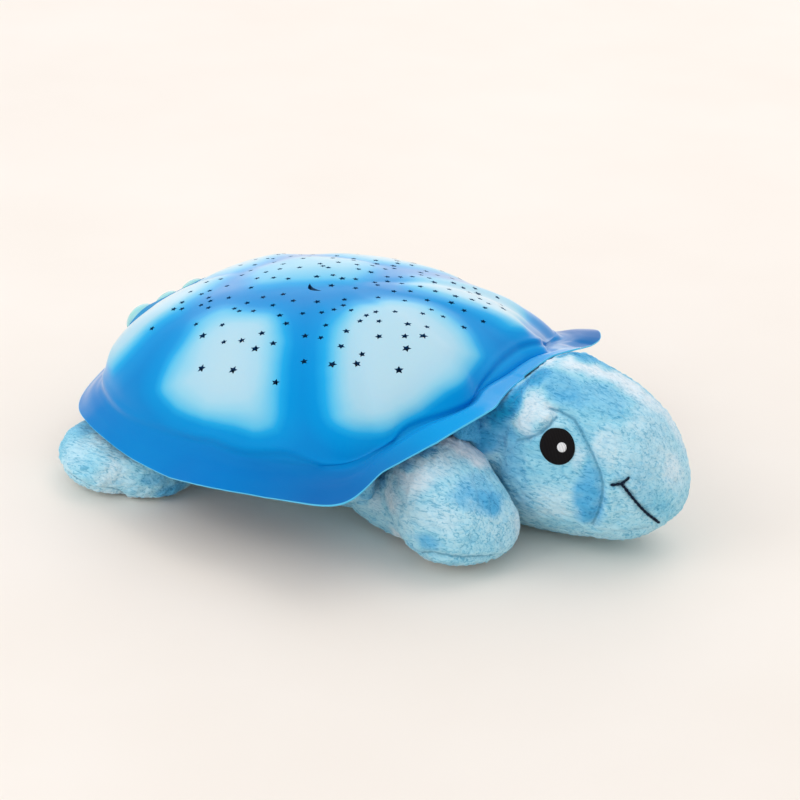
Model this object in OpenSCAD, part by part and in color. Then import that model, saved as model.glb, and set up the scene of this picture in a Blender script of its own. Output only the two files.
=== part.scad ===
// Star night light: a plush sea turtle whose hard shell projects stars.
// The head points along +X, the turtle's right side is -Y, up is +Z.
// The origin is on the table, at the middle of the length and of the width.

/* [Shell] */
// top of the dome above the table
shell_top = 102; // [98:1:108]
// wall of the moulded shell
shell_wall = 2.2; // [1.8:0.1:2.6]
// distance from the middle to the rim edge over the neck
neck_rim_x = 113; // [112:1:116]
// height of the rim edge over the neck
neck_rim_z = 79; // [78:1:82]
// half the width of the arch over the neck
arch_half = 46; // [42:1:50]
// how far the arch's two ends stand forward of its middle
arch_horn = 9; // [6:1:12]
// distance forward of the wide front corners
front_corner_x = 90; // [86:1:94]
// half the width over the front corners
front_corner_y = 126; // [122:1:130]
// height of the turned-up front corners
front_corner_z = 48; // [45:1:52]
// half the width at the waist of the shell
side_y = 124; // [120:1:128]
// height of the rim edge at the waist
side_z = 32; // [31:1:36]
// distance back of the rear corners
rear_corner_x = 114; // [110:1:118]
// half the width over the rear corners
rear_corner_y = 80; // [76:1:84]
// height of the rim edge at the rear corners
rear_corner_z = 31; // [30:1:34]
// distance back of the rim edge over the tail
tail_rim_x = 133; // [130:1:137]
// height of the rim edge over the tail
tail_rim_z = 39; // [37:1:41]
// how far the flared rim stands out of the dome at the sides
flare = 15; // [13:1:17]
// height of the crease between dome and rim at the sides
crease_z = 49; // [48:1:52]
// how far the crease climbs from the sides to the neck
crease_climb = 25; // [23:1:27]
// how much flatter the dome is over the wide front corners
shoulder_ease = 0.55; // [0.3:0.05:0.7]

/* [Stars] */
// number of star-shaped holes
star_count = 64; // [40:1:70]
// outer radius of the smallest stars
star_small = 1.9; // [1.5:0.1:2.2]
// outer radius of the largest stars
star_large = 3.1; // [2.6:0.1:3.4]
// outer radius of the moon-shaped hole
moon_r = 5; // [4:0.5:6]

/* [Button panel] */
// diameter of a colour button
button_d = 19; // [18:0.2:19.6]
// distance between neighbouring buttons
button_pitch = 22.6; // [22.2:0.2:23.4]
// height of a button's domed top
button_dome = 6; // [5:0.5:7]
// travel of a button
button_travel = 1.2; // [0.8:0.1:1.4]
// clearance around a button
button_gap = 0.35; // [0.25:0.05:0.45]
// border of the panel around the buttons
panel_border = 2.6; // [2:0.2:3.2]
// depth of the panel's side wall
panel_depth = 15; // [14:0.5:16]
// how far the panel's face stands proud of the dome
panel_proud = 1.6; // [1:0.2:2]

/* [Base] */
// diameter of the round plastic base
base_d = 96; // [94:1:98]
// thickness of the base's floor
floor_t = 3; // [2.8:0.2:3.4]
// wall of the base
base_wall = 2.4; // [2:0.2:2.8]
// height of the top of the base
base_h = 38; // [37:0.5:39]
// diameter of the tray that carries the shell
tray_d = 168; // [166:1:170]
// thickness of the tray
tray_t = 2.5; // [2.2:0.1:2.8]
// distance of the shell's posts from the middle
post_at = 73; // [70:0.5:75]
// radius of a shell post
post_r = 4; // [3.6:0.2:4.4]

/* [Battery bay] */
// diameter of a battery cell
cell_d = 10.4; // [10.3:0.1:10.5]
// length of a battery cell
cell_len = 44.5; // [44:0.1:44.5]
// distance between neighbouring cells
cell_pitch = 11.2; // [11:0.1:11.4]
// length of the battery door
door_len = 62; // [61.5:0.5:63]
// width of the battery door
door_w = 38; // [37:0.5:39]
// thickness of the battery door
door_t = 2.6; // [2.4:0.1:2.6]
// clearance around the battery door
door_gap = 0.4; // [0.3:0.05:0.5]
// radius of the door's hinge pins
hinge_pin_r = 0.9; // [0.8:0.05:0.95]

/* [Lamp] */
// diameter of the round circuit board
board_d = 60; // [56:1:64]
// height of the lamps above the circuit board
lamp_h = 16; // [14:1:18]
// diameter of a lamp
lamp_d = 5; // [5:0.5:5.5]

/* [Plush] */
// distance of the neck's swing axis from the middle
neck_x = 112; // [111:0.5:113]
// radius of the neck where it is sewn in
neck_r = 24; // [23:0.5:25]
// distance of the nose tip from the middle
nose_x = 211; // [206:1:216]
// half the width of the head
head_half = 40; // [38:0.5:41]
// height of the head
head_h = 96; // [93:1:97]
// radius of an embroidered eye
eye_r = 9.5; // [9:0.25:10]
// distance forward of the front flippers' swing axes
fore_x = 82; // [81:0.5:83]
// distance sideways of the front flippers' swing axes
fore_y = 47; // [47:0.5:49]
// length of a front flipper past its axis
fore_len = 68; // [65:1:70]
// half the width of a front flipper
fore_half = 34; // [32:0.5:35]
// height of a front flipper
fore_h = 59; // [56:1:60]
// distance back of the rear flippers' swing axes
hind_x = 63; // [62:0.5:64]
// distance sideways of the rear flippers' swing axes
hind_y = 82; // [80:0.5:83]
// length of a rear flipper past its axis
hind_len = 58; // [55:1:62]
// half the width of a rear flipper
hind_half = 37.5; // [36:0.5:38.5]
// height of a rear flipper
hind_h = 28; // [26:1:29]
// distance back of the plush body's end under the tail
body_back = 112; // [108:1:114]
// distance forward of the plush body's end under the neck
body_front = 104; // [100:1:105]
// half the width of the plush body at its waist
body_half = 68; // [64:1:70]
// clearance between a sewn root and the body's pocket
root_gap = 0.4; // [0.3:0.05:0.6]

/* [Hidden] */
$fn = 48;
span = 3;
dome_rings = 8;
dome_turn = 87;
wall = shell_wall;

// right half of the rim edge, from the neck round to the tail
rim_half = [
  [neck_rim_x, 0, neck_rim_z],
  [neck_rim_x + arch_horn * 0.25, arch_half * 0.52, neck_rim_z],
  [neck_rim_x + arch_horn, arch_half, neck_rim_z - 1],
  [neck_rim_x - 10, arch_half + 22, neck_rim_z - 15],
  [front_corner_x + 5, front_corner_y - 34, front_corner_z + 8],
  [front_corner_x, front_corner_y, front_corner_z],
  [front_corner_x - 51, side_y - 2, side_z + 5],
  [front_corner_x - 93, side_y, side_z],
  [-rear_corner_x * 0.61, (side_y + rear_corner_y) / 2 + 5, rear_corner_z],
  [-rear_corner_x, rear_corner_y, rear_corner_z],
  [-tail_rim_x + 4, rear_corner_y * 0.5, tail_rim_z - 3],
  [-tail_rim_x, 0, tail_rim_z]
];
// how far in from the rim edge and how high the crease lies at each point
crease_in = [9, 12, 17, 15, 17, 30, flare, flare + 1, flare - 2, flare - 1, flare, flare];
crease_up = [
  crease_z + crease_climb,
  crease_z + crease_climb,
  crease_z + crease_climb - 2,
  crease_z + crease_climb * 0.64,
  crease_z + crease_climb * 0.42,
  crease_z + crease_climb * 0.28,
  crease_z + 1,
  crease_z,
  crease_z - 1,
  crease_z - 2,
  crease_z - 1,
  crease_z
];
crease_half = [for (i = [0:11])
  let (p = rim_half[i], r = norm([p[0], p[1]]), k = (r - crease_in[i]) / r)
  [p[0] * k, p[1] * k, crease_up[i]]];

function mirror_loop(h) = concat(h, [for (i = [10:-1:1]) [h[i][0], -h[i][1], h[i][2]]]);
function spline(a, b, c, d, t) =
  0.5 * (2 * b + (c - a) * t + (2 * a - 5 * b + 4 * c - d) * t * t + (3 * b - a - 3 * c + d) * t * t * t);
function on_loop(loop, u) =
  let (n = len(loop), s = (u - floor(u)) * n, i = floor(s), t = s - i)
  spline(loop[(i + n - 1) % n], loop[i % n], loop[(i + 1) % n], loop[(i + 2) % n], t);

rim_loop = mirror_loop(rim_half);
crease_loop = mirror_loop(crease_half);
segs = len(rim_loop) * span;

// turns from the neck to a front corner, and how far round it the dome is eased
corner_turn = 0.205;
corner_spread = 0.047;
function ease_at(u) =
  let (w = u - floor(u), v = min(w, 1 - w))
  1 + shoulder_ease * exp(-pow((v - corner_turn) / corner_spread, 2));
// outer surface: u runs round the shell, a is 0 at the top and 90 at the crease
function dome_at(u, a) =
  let (c = on_loop(crease_loop, u), k = sin(a * dome_turn / 90) / sin(dome_turn))
  let (f = (cos(a * dome_turn / 90) - cos(dome_turn)) / (1 - cos(dome_turn)))
  [c[0] * k, c[1] * k, c[2] + (shell_top - c[2]) * pow(max(f, 0), ease_at(u))];
// the flared rim: f is 0 at the crease and 1 at the edge
function flare_at(u, f) =
  let (c = on_loop(crease_loop, u), e = on_loop(rim_loop, u), s = f * (0.55 + 0.45 * f))
  [c[0] + (e[0] - c[0]) * s, c[1] + (e[1] - c[1]) * s, c[2] + (e[2] - c[2]) * f];
function inward(p, across, down) =
  let (r = max(norm([p[0], p[1]]), 0.01), k = max(0, r - across) / r)
  [p[0] * k, p[1] * k, p[2] - down];
function unit(v) = v / norm(v);
function dome_normal(u, a) =
  unit(cross(dome_at(u, a + 0.5) - dome_at(u, a - 0.5), dome_at(u + 0.002, a) - dome_at(u - 0.002, a)));

function round_at(i) = 1 - i / segs;
function outer_rings() = concat(
  [for (r = [1:dome_rings]) [for (i = [0:segs - 1]) dome_at(round_at(i), 90 * r / dome_rings)]],
  [for (f = [0.4, 0.75, 1]) [for (i = [0:segs - 1]) flare_at(round_at(i), f)]]);
function inner_rings() = concat(
  [for (f = [1, 0.75, 0.4]) [for (i = [0:segs - 1]) inward(flare_at(round_at(i), f), wall * 0.45, wall * 0.8)]],
  [for (r = [dome_rings:-1:1])
    let (a = 90 * r / dome_rings)
    [for (i = [0:segs - 1]) inward(dome_at(round_at(i), a), wall * sin(a), wall * max(cos(a), 0.3))]]);

// the frame's origin is at mid length and mid width, on the table
middle_x = (nose_x - max(tail_rim_x, hind_x + hind_len)) / 2;
module placed() {
  translate([-middle_x, 0, 0]) children();
}

// closed skin over a list of rings, pointed at both ends
module skin(rings, first, last) {
  n = len(rings[0]);
  m = len(rings);
  points = concat([for (r = rings) each r], [first, last]);
  polyhedron(points, concat(
    [for (i = [0:n - 1]) [m * n, i, (i + 1) % n]],
    [for (j = [0:m - 2], i = [0:n - 1], h = [0, 1])
      h == 0 ? [j * n + i, (j + 1) * n + i, j * n + (i + 1) % n]
             : [j * n + (i + 1) % n, (j + 1) * n + i, (j + 1) * n + (i + 1) % n]],
    [for (i = [0:n - 1]) [m * n + 1, (m - 1) * n + (i + 1) % n, (m - 1) * n + i]]));
}

// button panel seat: on the dome's back, square to its surface
panel_a = 77;
panel_seat = dome_at(0.5, panel_a);
panel_dir = dome_normal(0.5, panel_a);
panel_tilt = atan2(panel_dir[2], -panel_dir[0]);
module on_panel() {
  translate(panel_seat) rotate([0, panel_tilt - 90, 0]) children();
}
button_r = button_d / 2;
bore_r = button_r + button_gap;
panel_half = bore_r + panel_border;
face_t = 2.4;
cover_z = -panel_depth + 1.6;
board_z = cover_z + 1.6;
switch_h = 3.6;
lip_r = bore_r + (button_pitch / 2 - bore_r) * 0.55;
lip_t = 1.4;
plunger_z = board_z + 1.4 + switch_h;

module stadium(half, h) {
  translate([0, -button_pitch, 0]) cylinder(r = half, h = h);
  translate([0, button_pitch, 0]) cylinder(r = half, h = h);
  translate([-half, -button_pitch, 0]) cube([2 * half, 2 * button_pitch, h]);
}

// star with five points
module star(r, h) {
  linear_extrude(h, center = true)
    polygon([for (i = [0:9]) let (q = i % 2 == 0 ? r : r * 0.46) [q * cos(36 * i), q * sin(36 * i)]]);
}
function star_a(k) = 11 + 50 * pow((k + 0.5) / star_count, 0.62);
function star_u(k) = (k * 0.381966) % 1;
moon_u = 0.93;
moon_a = 16;
module aim(p, d) {
  translate(p) rotate([0, acos(d[2]), atan2(d[1], d[0])]) children();
}
module star_holes() {
  for (k = [0:star_count - 1]) {
    u = star_u(k);
    a = star_a(k);
    size = star_small + (star_large - star_small) * (a - 11) / 50;
    near_moon = norm(dome_at(u, a) - dome_at(moon_u, moon_a)) < moon_r + size + 1;
    near_panel = abs(u - 0.5) < 0.09 && a > 45;
    if (!near_moon && !near_panel)
      aim(dome_at(u, a), dome_normal(u, a)) rotate([0, 0, k * 47]) star(size, 4 * wall);
  }
  aim(dome_at(moon_u, moon_a), dome_normal(moon_u, moon_a)) rotate([0, 0, 200])
    linear_extrude(4 * wall, center = true) difference() {
      circle(r = moon_r, $fn = 24);
      translate([moon_r * 0.45, 0]) circle(r = moon_r * 0.95, $fn = 24);
    }
}

tray_top = base_h + tray_t;
screw_r = 1.25;
post_turns = [30, 90, 150, 210, 270, 330];

module shell_skin() {
  skin(concat(outer_rings(), inner_rings()), [0, 0, shell_top], [0, 0, shell_top - wall]);
}
module shell_inside() {
  low = [for (i = [0:segs - 1])
    let (p = inward(on_loop(crease_loop, round_at(i)), wall * 0.5, 0)) [p[0], p[1], 20]];
  skin(concat(
    [for (r = [1:dome_rings])
      let (a = 90 * r / dome_rings)
      [for (i = [0:segs - 1])
        inward(dome_at(round_at(i), a), wall * 0.5 * sin(a), wall * 0.5 * max(cos(a), 0.3))]],
    [low]), [0, 0, shell_top - wall / 2], [0, 0, 20]);
}
module shell() {
  placed() color([0.35, 0.68, 0.88]) resize([0, 0, 0]) union() {
    difference() {
      shell_skin();
      star_holes();
      on_panel() translate([0, 0, -40]) stadium(panel_half + 0.1, 60);
    }
    intersection() {
      shell_inside();
      difference() {
        for (a = post_turns) rotate([0, 0, a])
          translate([post_at, 0, tray_top]) cylinder(r = post_r, h = 60, $fn = 16);
        for (a = post_turns) rotate([0, 0, a])
          translate([post_at, 0, tray_top - 1]) cylinder(r = screw_r, h = 11, $fn = 16);
      }
    }
  }
}

module control_panel() {
  placed() color([0.16, 0.50, 0.80]) on_panel() difference() {
    translate([0, 0, -panel_depth]) stadium(panel_half, panel_depth + panel_proud);
    translate([0, 0, -panel_depth - 1]) stadium(panel_half - 1, panel_depth + 1 + panel_proud - face_t);
    for (k = [-1:1]) translate([0, k * button_pitch, -1]) cylinder(r = bore_r, h = 10);
  }
}
panel_screw_y = button_pitch / 2;
module panel_cover() {
  placed() color([0.90, 0.92, 0.93]) on_panel() difference() {
    union() {
      translate([0, 0, cover_z - 1.6]) stadium(panel_half - 1.1, 1.6);
      for (s = [-1, 1]) translate([0, s * panel_screw_y, cover_z - 1.6]) cylinder(r = 2.6, h = 3.2);
    }
    for (s = [-1, 1]) translate([0, s * panel_screw_y, cover_z - 2]) cylinder(r = screw_r, h = 6);
    translate([0, 0, cover_z - 2]) cylinder(r = 1.6, h = 6);
  }
}
module panel_screws() {
  placed() color([0.72, 0.73, 0.75]) on_panel() for (s = [-1, 1]) translate([0, s * panel_screw_y, 0]) {
    translate([0, 0, board_z + 1.4]) cylinder(r = 2.3, h = 1.2);
    translate([0, 0, cover_z - 1.6]) cylinder(r = screw_r - 0.05, h = 1.4 + 3.2 + 0.1);
  }
}
module switch_board() {
  placed() color([0.10, 0.36, 0.20]) on_panel() difference() {
    translate([0, 0, board_z]) stadium(panel_half - 3, 1.4);
    for (s = [-1, 1]) translate([0, s * panel_screw_y, board_z - 1]) cylinder(r = screw_r + 0.1, h = 4);
  }
}
module tact_switches() {
  placed() color([0.15, 0.15, 0.16]) on_panel() for (k = [-1:1]) translate([0, k * button_pitch, board_z + 1.4])
    difference() {
      translate([-3, -3, 0]) cube([6, 6, switch_h]);
      translate([0, 0, 0.5]) cylinder(r = 1.8, h = switch_h);
    }
}
module button(k) {
  on_panel() translate([0, k * button_pitch, 0]) {
    rotate_extrude() difference() {
      translate([0, panel_proud - face_t - lip_t - 0.1]) intersection() {
        union() {
          square([lip_r, lip_t]);
          square([button_r, face_t + lip_t + 1.1]);
          translate([0, face_t + lip_t + 1.1]) scale([1, button_dome / button_r]) circle(r = button_r);
        }
        square([lip_r + 1, 30]);
      }
      translate([0, panel_proud - face_t - lip_t - 1]) square([button_r - 1.8, face_t + lip_t + 1.6]);
    }
    translate([0, 0, plunger_z]) cylinder(r = 1.5, h = panel_proud + 1.5 - plunger_z);
  }
}
module plunger(k) {
  on_panel() translate([0, k * button_pitch, plunger_z - 1.4]) cylinder(r = 1.7, h = 1.4);
}
module button_left() { placed() color([0.58, 0.86, 0.86]) button(-1); }
module button_centre() { placed() color([0.58, 0.86, 0.86]) button(0); }
module button_right() { placed() color([0.58, 0.86, 0.86]) button(1); }
module plunger_left() { placed() color([0.85, 0.85, 0.80]) plunger(-1); }
module plunger_centre() { placed() color([0.85, 0.85, 0.80]) plunger(0); }
module plunger_right() { placed() color([0.85, 0.85, 0.80]) plunger(1); }

// base: a round tub with the battery bay in its floor
base_r = base_d / 2;
bay_len = cell_len + 5;
bay_w = 2 * cell_pitch + cell_d + 2.2;
bay_top = floor_t + cell_d + 1.4;
hinge_x = -bay_len / 2 - 2.6;
door_end = hinge_x + door_len;
door_screw_x = door_end - 3.4;
hinge_z = floor_t / 2;
base_screw_at = [for (a = [45, 135, 225, 315]) [(base_r - 6.4) * cos(a), (base_r - 6.4) * sin(a)]];
tray_screw_len = 8;
module base_housing() {
  placed() color([0.92, 0.93, 0.94]) difference() {
    union() {
      difference() {
        cylinder(r = base_r, h = base_h, $fn = 96);
        translate([0, 0, floor_t]) cylinder(r = base_r - base_wall, h = base_h, $fn = 96);
      }
      translate([-bay_len / 2 - 1.6, -bay_w / 2 - 1.6, 0.5]) cube([bay_len + 3.2, bay_w + 3.2, bay_top + 1.1]);
      translate([door_screw_x, 0, floor_t - 0.5]) cylinder(r = 3.4, h = 8);
      translate([bay_len / 2 + 0.5, -1.2, floor_t - 0.5]) cube([base_r - bay_len / 2 - 1.5, 2.4, 8]);
      for (p = base_screw_at) translate([p[0], p[1], 0.5]) cylinder(r = 4.2, h = base_h - 0.5);
    }
    translate([-bay_len / 2, -bay_w / 2, -1]) cube([bay_len, bay_w, bay_top + 1]);
    translate([hinge_x, -door_w / 2 - door_gap, -1])
      cube([door_len + door_gap, door_w + 2 * door_gap, floor_t + 1]);
    translate([hinge_x, -door_w / 2 - door_gap, hinge_z])
      rotate([-90, 0, 0]) cylinder(r = door_t / 2 + door_gap, h = door_w + 2 * door_gap);
    translate([hinge_x - door_t / 2 - door_gap, -door_w / 2 - door_gap, -1])
      cube([door_t + 2 * door_gap, door_w + 2 * door_gap, 1 + hinge_z]);
    translate([hinge_x, -door_w / 2 - 4, hinge_z])
      rotate([-90, 0, 0]) cylinder(r = hinge_pin_r + 0.08, h = door_w + 8);
    translate([door_screw_x, 0, -1]) cylinder(r = 1.9, h = 9.5);
    for (p = base_screw_at) {
      translate([p[0], p[1], -1]) cylinder(r = screw_r + 0.25, h = base_h + 2);
      translate([p[0], p[1], -1]) cylinder(r = 2.7, h = base_h - 8);
    }
    translate([0, bay_w / 2, bay_top - 4]) rotate([-90, 0, 0]) cylinder(r = 1.6, h = 5);
  }
}
module battery_door() {
  placed() color([0.90, 0.91, 0.92]) difference() {
    union() {
      translate([hinge_x, -door_w / 2, hinge_z - door_t / 2]) cube([door_len, door_w, door_t]);
      translate([hinge_x, -door_w / 2, hinge_z]) rotate([-90, 0, 0]) cylinder(r = door_t / 2, h = door_w);
      translate([hinge_x, -door_w / 2 - 3.4, hinge_z])
        rotate([-90, 0, 0]) cylinder(r = hinge_pin_r, h = door_w + 6.8);
    }
    translate([door_screw_x, 0, -1]) cylinder(r = 1.5, h = 6);
    translate([door_screw_x, 0, -1]) cylinder(r = 2.6, h = 1 + hinge_z - door_t / 2 + 1.3);
  }
}
door_screw_z = hinge_z - door_t / 2 + 0.1;
module door_screw() {
  placed() color([0.72, 0.73, 0.75]) translate([door_screw_x, 0, door_screw_z]) difference() {
    union() {
      cylinder(r = 2.4, h = 1.1);
      cylinder(r = 1.3, h = 6.4);
    }
    translate([-1.6, -0.3, -0.1]) cube([3.2, 0.6, 0.7]);
    translate([-0.3, -1.6, -0.1]) cube([0.6, 3.2, 0.7]);
  }
}
module case_screws() {
  placed() color([0.72, 0.73, 0.75]) for (p = base_screw_at) translate([p[0], p[1], base_h - 9]) {
    translate([0, 0, -1.6]) cylinder(r = 2.4, h = 1.6);
    cylinder(r = screw_r, h = 9 + tray_t + tray_screw_len - 3);
  }
}

cell_z = floor_t + cell_d / 2 + 0.5;
module cells() {
  placed() color([0.20, 0.45, 0.35]) for (k = [-1:1]) translate([0, k * cell_pitch, cell_z]) rotate([0, 90, 0])
    scale([1, 1, k == 0 ? -1 : 1]) translate([0, 0, -cell_len / 2]) {
      cylinder(r = cell_d / 2, h = cell_len - 1);
      cylinder(r = 1.9, h = cell_len);
    }
}
// contacts: plates at both ends of the bay, a coil in front of each minus end
coil_r = 2.6;
module battery_contacts() {
  placed() color([0.80, 0.80, 0.76]) for (k = [-1:1], s = [-1, 1])
    translate([s * (bay_len / 2 - 0.25) - 0.25, k * cell_pitch - 4, floor_t + 1.5]) cube([0.5, 8, 8.6]);
}
spring_wire = 0.3;
spring_turns = 2;
spring_len = (bay_len - cell_len) / 2 - 0.5 - 0.04 - 2 * spring_wire;
// one conical coil along +X, wound as a chain of small rings
module coil() {
  rings = [for (i = [0:spring_turns * 14])
    let (a = i * 360 / 14, r = coil_r - 0.35 * i / 14, x = spring_len * i / (spring_turns * 14))
    [for (b = [0:60:300])
      [x + spring_wire * sin(b), (r + spring_wire * cos(b)) * cos(a), (r + spring_wire * cos(b)) * sin(a)]]];
  m = len(rings) - 1;
  skin(rings, [for (k = [0:2]) (rings[0][0][k] + rings[0][3][k]) / 2],
    [for (k = [0:2]) (rings[m][0][k] + rings[m][3][k]) / 2]);
}
module battery_springs() {
  placed() color([0.80, 0.80, 0.76]) for (k = [-1:1])
    translate([0, k * cell_pitch, cell_z]) rotate([0, 0, k == 0 ? 180 : 0])
      translate([-bay_len / 2 + 0.5 + 0.02 + spring_wire, 0, 0]) coil();
}

// tray: carries the shell and the lamp board
led_ring = 6;
module tray() {
  placed() color([0.94, 0.95, 0.96]) difference() {
    union() {
      translate([0, 0, base_h]) cylinder(d = tray_d, h = tray_t, $fn = 96);
      for (p = base_screw_at) translate([p[0], p[1], base_h]) cylinder(r = 3.6, h = tray_t + tray_screw_len);
      for (a = [0, 120, 240]) rotate([0, 0, a])
        translate([board_d / 2 - 4, 0, base_h]) cylinder(r = 2.6, h = tray_t + 5);
    }
    for (p = base_screw_at) translate([p[0], p[1], base_h - 1]) cylinder(r = screw_r, h = tray_t + tray_screw_len);
    for (a = post_turns) rotate([0, 0, a])
      translate([post_at, 0, base_h - 1]) cylinder(r = screw_r + 0.2, h = 9);
    for (a = [0, 120, 240]) rotate([0, 0, a])
      translate([board_d / 2 - 4, 0, tray_top]) cylinder(r = 0.9, h = 9);
    translate([0, 14, base_h - 1]) cylinder(r = 4, h = 9);
  }
}
module shell_screws() {
  placed() color([0.72, 0.73, 0.75]) for (a = post_turns) rotate([0, 0, a]) translate([post_at, 0, base_h]) {
    translate([0, 0, -1.5]) cylinder(r = 2.3, h = 1.5);
    cylinder(r = screw_r - 0.05, h = tray_t + 8);
  }
}
board_low = tray_top + 5;
module lamp_board() {
  placed() color([0.10, 0.36, 0.20]) difference() {
    translate([0, 0, board_low]) cylinder(d = board_d, h = 1.6, $fn = 64);
    for (a = [0, 120, 240]) rotate([0, 0, a])
      translate([board_d / 2 - 4, 0, board_low - 1]) cylinder(r = 1.1, h = 4);
  }
}
module board_screws() {
  placed() color([0.72, 0.73, 0.75]) for (a = [0, 120, 240]) rotate([0, 0, a]) translate([board_d / 2 - 4, 0, 0]) {
    translate([0, 0, board_low + 1.6]) cylinder(r = 2, h = 1.2);
    translate([0, 0, board_low - 4]) cylinder(r = 0.9, h = 6);
  }
}
module lamp_holder() {
  placed() color([0.95, 0.95, 0.95]) translate([0, 0, board_low + 1.6]) difference() {
    cylinder(r = led_ring + lamp_d / 2 + 1.5, h = lamp_h);
    for (a = [0, 120, 240]) rotate([0, 0, a]) translate([led_ring, 0, -1]) cylinder(d = lamp_d, h = lamp_h + 2);
  }
}
module lamp(a) {
  rotate([0, 0, a]) translate([led_ring, 0, board_low + 1.6]) {
    cylinder(r = lamp_d / 2 - 0.05, h = lamp_h + 3);
    translate([0, 0, lamp_h + 3]) sphere(r = lamp_d / 2 - 0.05);
  }
}
module lamp_amber() { placed() color([0.95, 0.65, 0.20]) lamp(0); }
module lamp_green() { placed() color([0.30, 0.85, 0.40]) lamp(120); }
module lamp_blue() { placed() color([0.25, 0.45, 0.95]) lamp(240); }
module timer_chip() {
  placed() color([0.08, 0.08, 0.09]) translate([-20, 2, board_low + 1.6]) cube([7, 10, 1.8]);
}

// wires: round leads along a chain of points
module lead(points, r) {
  for (i = [0:len(points) - 2]) {
    d = points[i + 1] - points[i];
    translate(points[i]) rotate([0, acos(d[2] / norm(d)), atan2(d[1], d[0])]) cylinder(r = r, h = norm(d));
    if (i > 0) translate(points[i]) sphere(r = r * 1.12);
  }
}
panel_foot = panel_seat - (panel_depth + 0.6) * panel_dir;
module panel_leads() {
  placed() color([0.75, 0.15, 0.12]) lead([
    panel_seat + (board_z - 0.3) * panel_dir,
    panel_foot,
    [-tray_d / 2 + 8, 0, tray_top + 1.6],
    [-board_d / 2 - 3, 0, tray_top + 1.6],
    [-board_d / 2 + 2, 0, board_low - 1.1]], 0.9);
}
module battery_leads() {
  placed() color([0.15, 0.15, 0.16]) lead([
    [0, bay_w / 2 - 0.2, bay_top - 4],
    [0, bay_w / 2 + 5.4, bay_top - 4],
    [0, 15, base_h - 6],
    [0, 14, board_low - 1.1]], 0.9);
}

// plush pieces: stuffed lofts with a flattened underside
function soft_ring(c, across, w, low, high, n, flat) = [for (i = [0:n - 1])
  let (a = 360 * i / n, q = cos(a), s = sin(a))
  let (y = w * sign(q) * pow(abs(q), 0.86), mid = low + (high - low) * 0.46)
  let (z = s > 0 ? mid + (high - mid) * pow(s, 0.92) : mid - (mid - low) * pow(-s, flat))
  [c[0] + across[0] * y, c[1] + across[1] * y, z]];
// stations: distance along, half width, low, high
function soft_rings(start, heading, stations, n, grow, flat) = [for (s = stations)
  soft_ring(
    start + s[0] * [cos(heading), sin(heading)], [-sin(heading), cos(heading)],
    s[1] + grow, s[2] - (grow > 0 ? grow : 0), s[3] + grow, n, flat)];
module soft_loft(start, heading, stations, n, grow, flat) {
  rings = soft_rings(start, heading, stations, n, grow, flat);
  first = stations[0];
  last = stations[len(stations) - 1];
  dir = [cos(heading), sin(heading)];
  a = start + (first[0] - 0.5 - grow) * dir;
  b = start + (last[0] + 0.5 + grow) * dir;
  skin(rings, [a[0], a[1], first[2] + (first[3] - first[2]) * 0.46],
    [b[0], b[1], last[2] + (last[3] - last[2]) * 0.46]);
}

root_h = 35;
function fore_stations() = [
  [0, neck_r * 0.9, 3, fore_h * 0.85],
  [fore_len * 0.2, fore_half * 0.9, 5, fore_h],
  [fore_len * 0.4, fore_half, 0, fore_h * 0.91],
  [fore_len * 0.58, fore_half, 0, fore_h * 0.84],
  [fore_len * 0.75, fore_half * 0.87, 2.2, fore_h * 0.73],
  [fore_len * 0.88, fore_half * 0.68, 6, fore_h * 0.565],
  [fore_len * 0.96, fore_half * 0.36, 10, fore_h * 0.34],
  [fore_len * 0.995, fore_half * 0.1, 12, fore_h * 0.25]];
fore_turn = -19;
// how far a front flipper swings out, and a rear one in and out
fore_out = 15;
hind_in = 3;
hind_out = 15;
hind_turn = 182;
hind_root = 25;
fore_root = 22;
function hind_stations() = [
  [0, hind_root * 0.96, 0.6, hind_h],
  [hind_len * 0.16, hind_half * 0.97, 0, hind_h],
  [hind_len * 0.34, hind_half, 0, hind_h],
  [hind_len * 0.54, hind_half * 0.89, 0, hind_h],
  [hind_len * 0.72, hind_half * 0.7, 0.6, hind_h * 0.99],
  [hind_len * 0.86, hind_half * 0.47, 2, hind_h * 0.88],
  [hind_len * 0.95, hind_half * 0.28, 4, hind_h * 0.64],
  [hind_len * 0.995, hind_half * 0.09, 7, hind_h * 0.46]];

// room between the swinging head and a front flipper, and the turn kept spare past the swing
head_room = 1.2;
head_spare = 2;
// the right front flipper, hollowed a little where the head swings towards it
module fore_flipper() {
  union() {
    translate([fore_x, -fore_y, 3]) cylinder(r = fore_root, h = root_h - 5);
    resize([0, 0, 0]) difference() {
      soft_loft([fore_x, -fore_y], fore_turn, fore_stations(), 26, 0, 0.85);
      for (a = [-neck_swing - head_spare, -neck_swing / 2, 0]) translate([neck_x, 0, 0]) rotate([0, 0, a])
        translate([-neck_x, 0, 0]) head_form(head_room);
      translate([neck_x, 0, 1]) cylinder(r = neck_r + 2 * head_room, h = 80);
    }
  }
}
module hind_flipper() {
  union() {
    translate([-hind_x, -hind_y, 1]) cylinder(r = hind_root, h = hind_h - 4);
    soft_loft([-hind_x, -hind_y], hind_turn, hind_stations(), 26, 0, 0.85);
  }
}
plush_blue = [0.60, 0.79, 0.90];
module fore_flipper_right() { placed() color(plush_blue) fore_flipper(); }
module fore_flipper_left() { placed() color(plush_blue) mirror([0, 1, 0]) fore_flipper(); }
module hind_flipper_right() { placed() color(plush_blue) hind_flipper(); }
module hind_flipper_left() { placed() color(plush_blue) mirror([0, 1, 0]) hind_flipper(); }

neck_top = 69;
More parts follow.
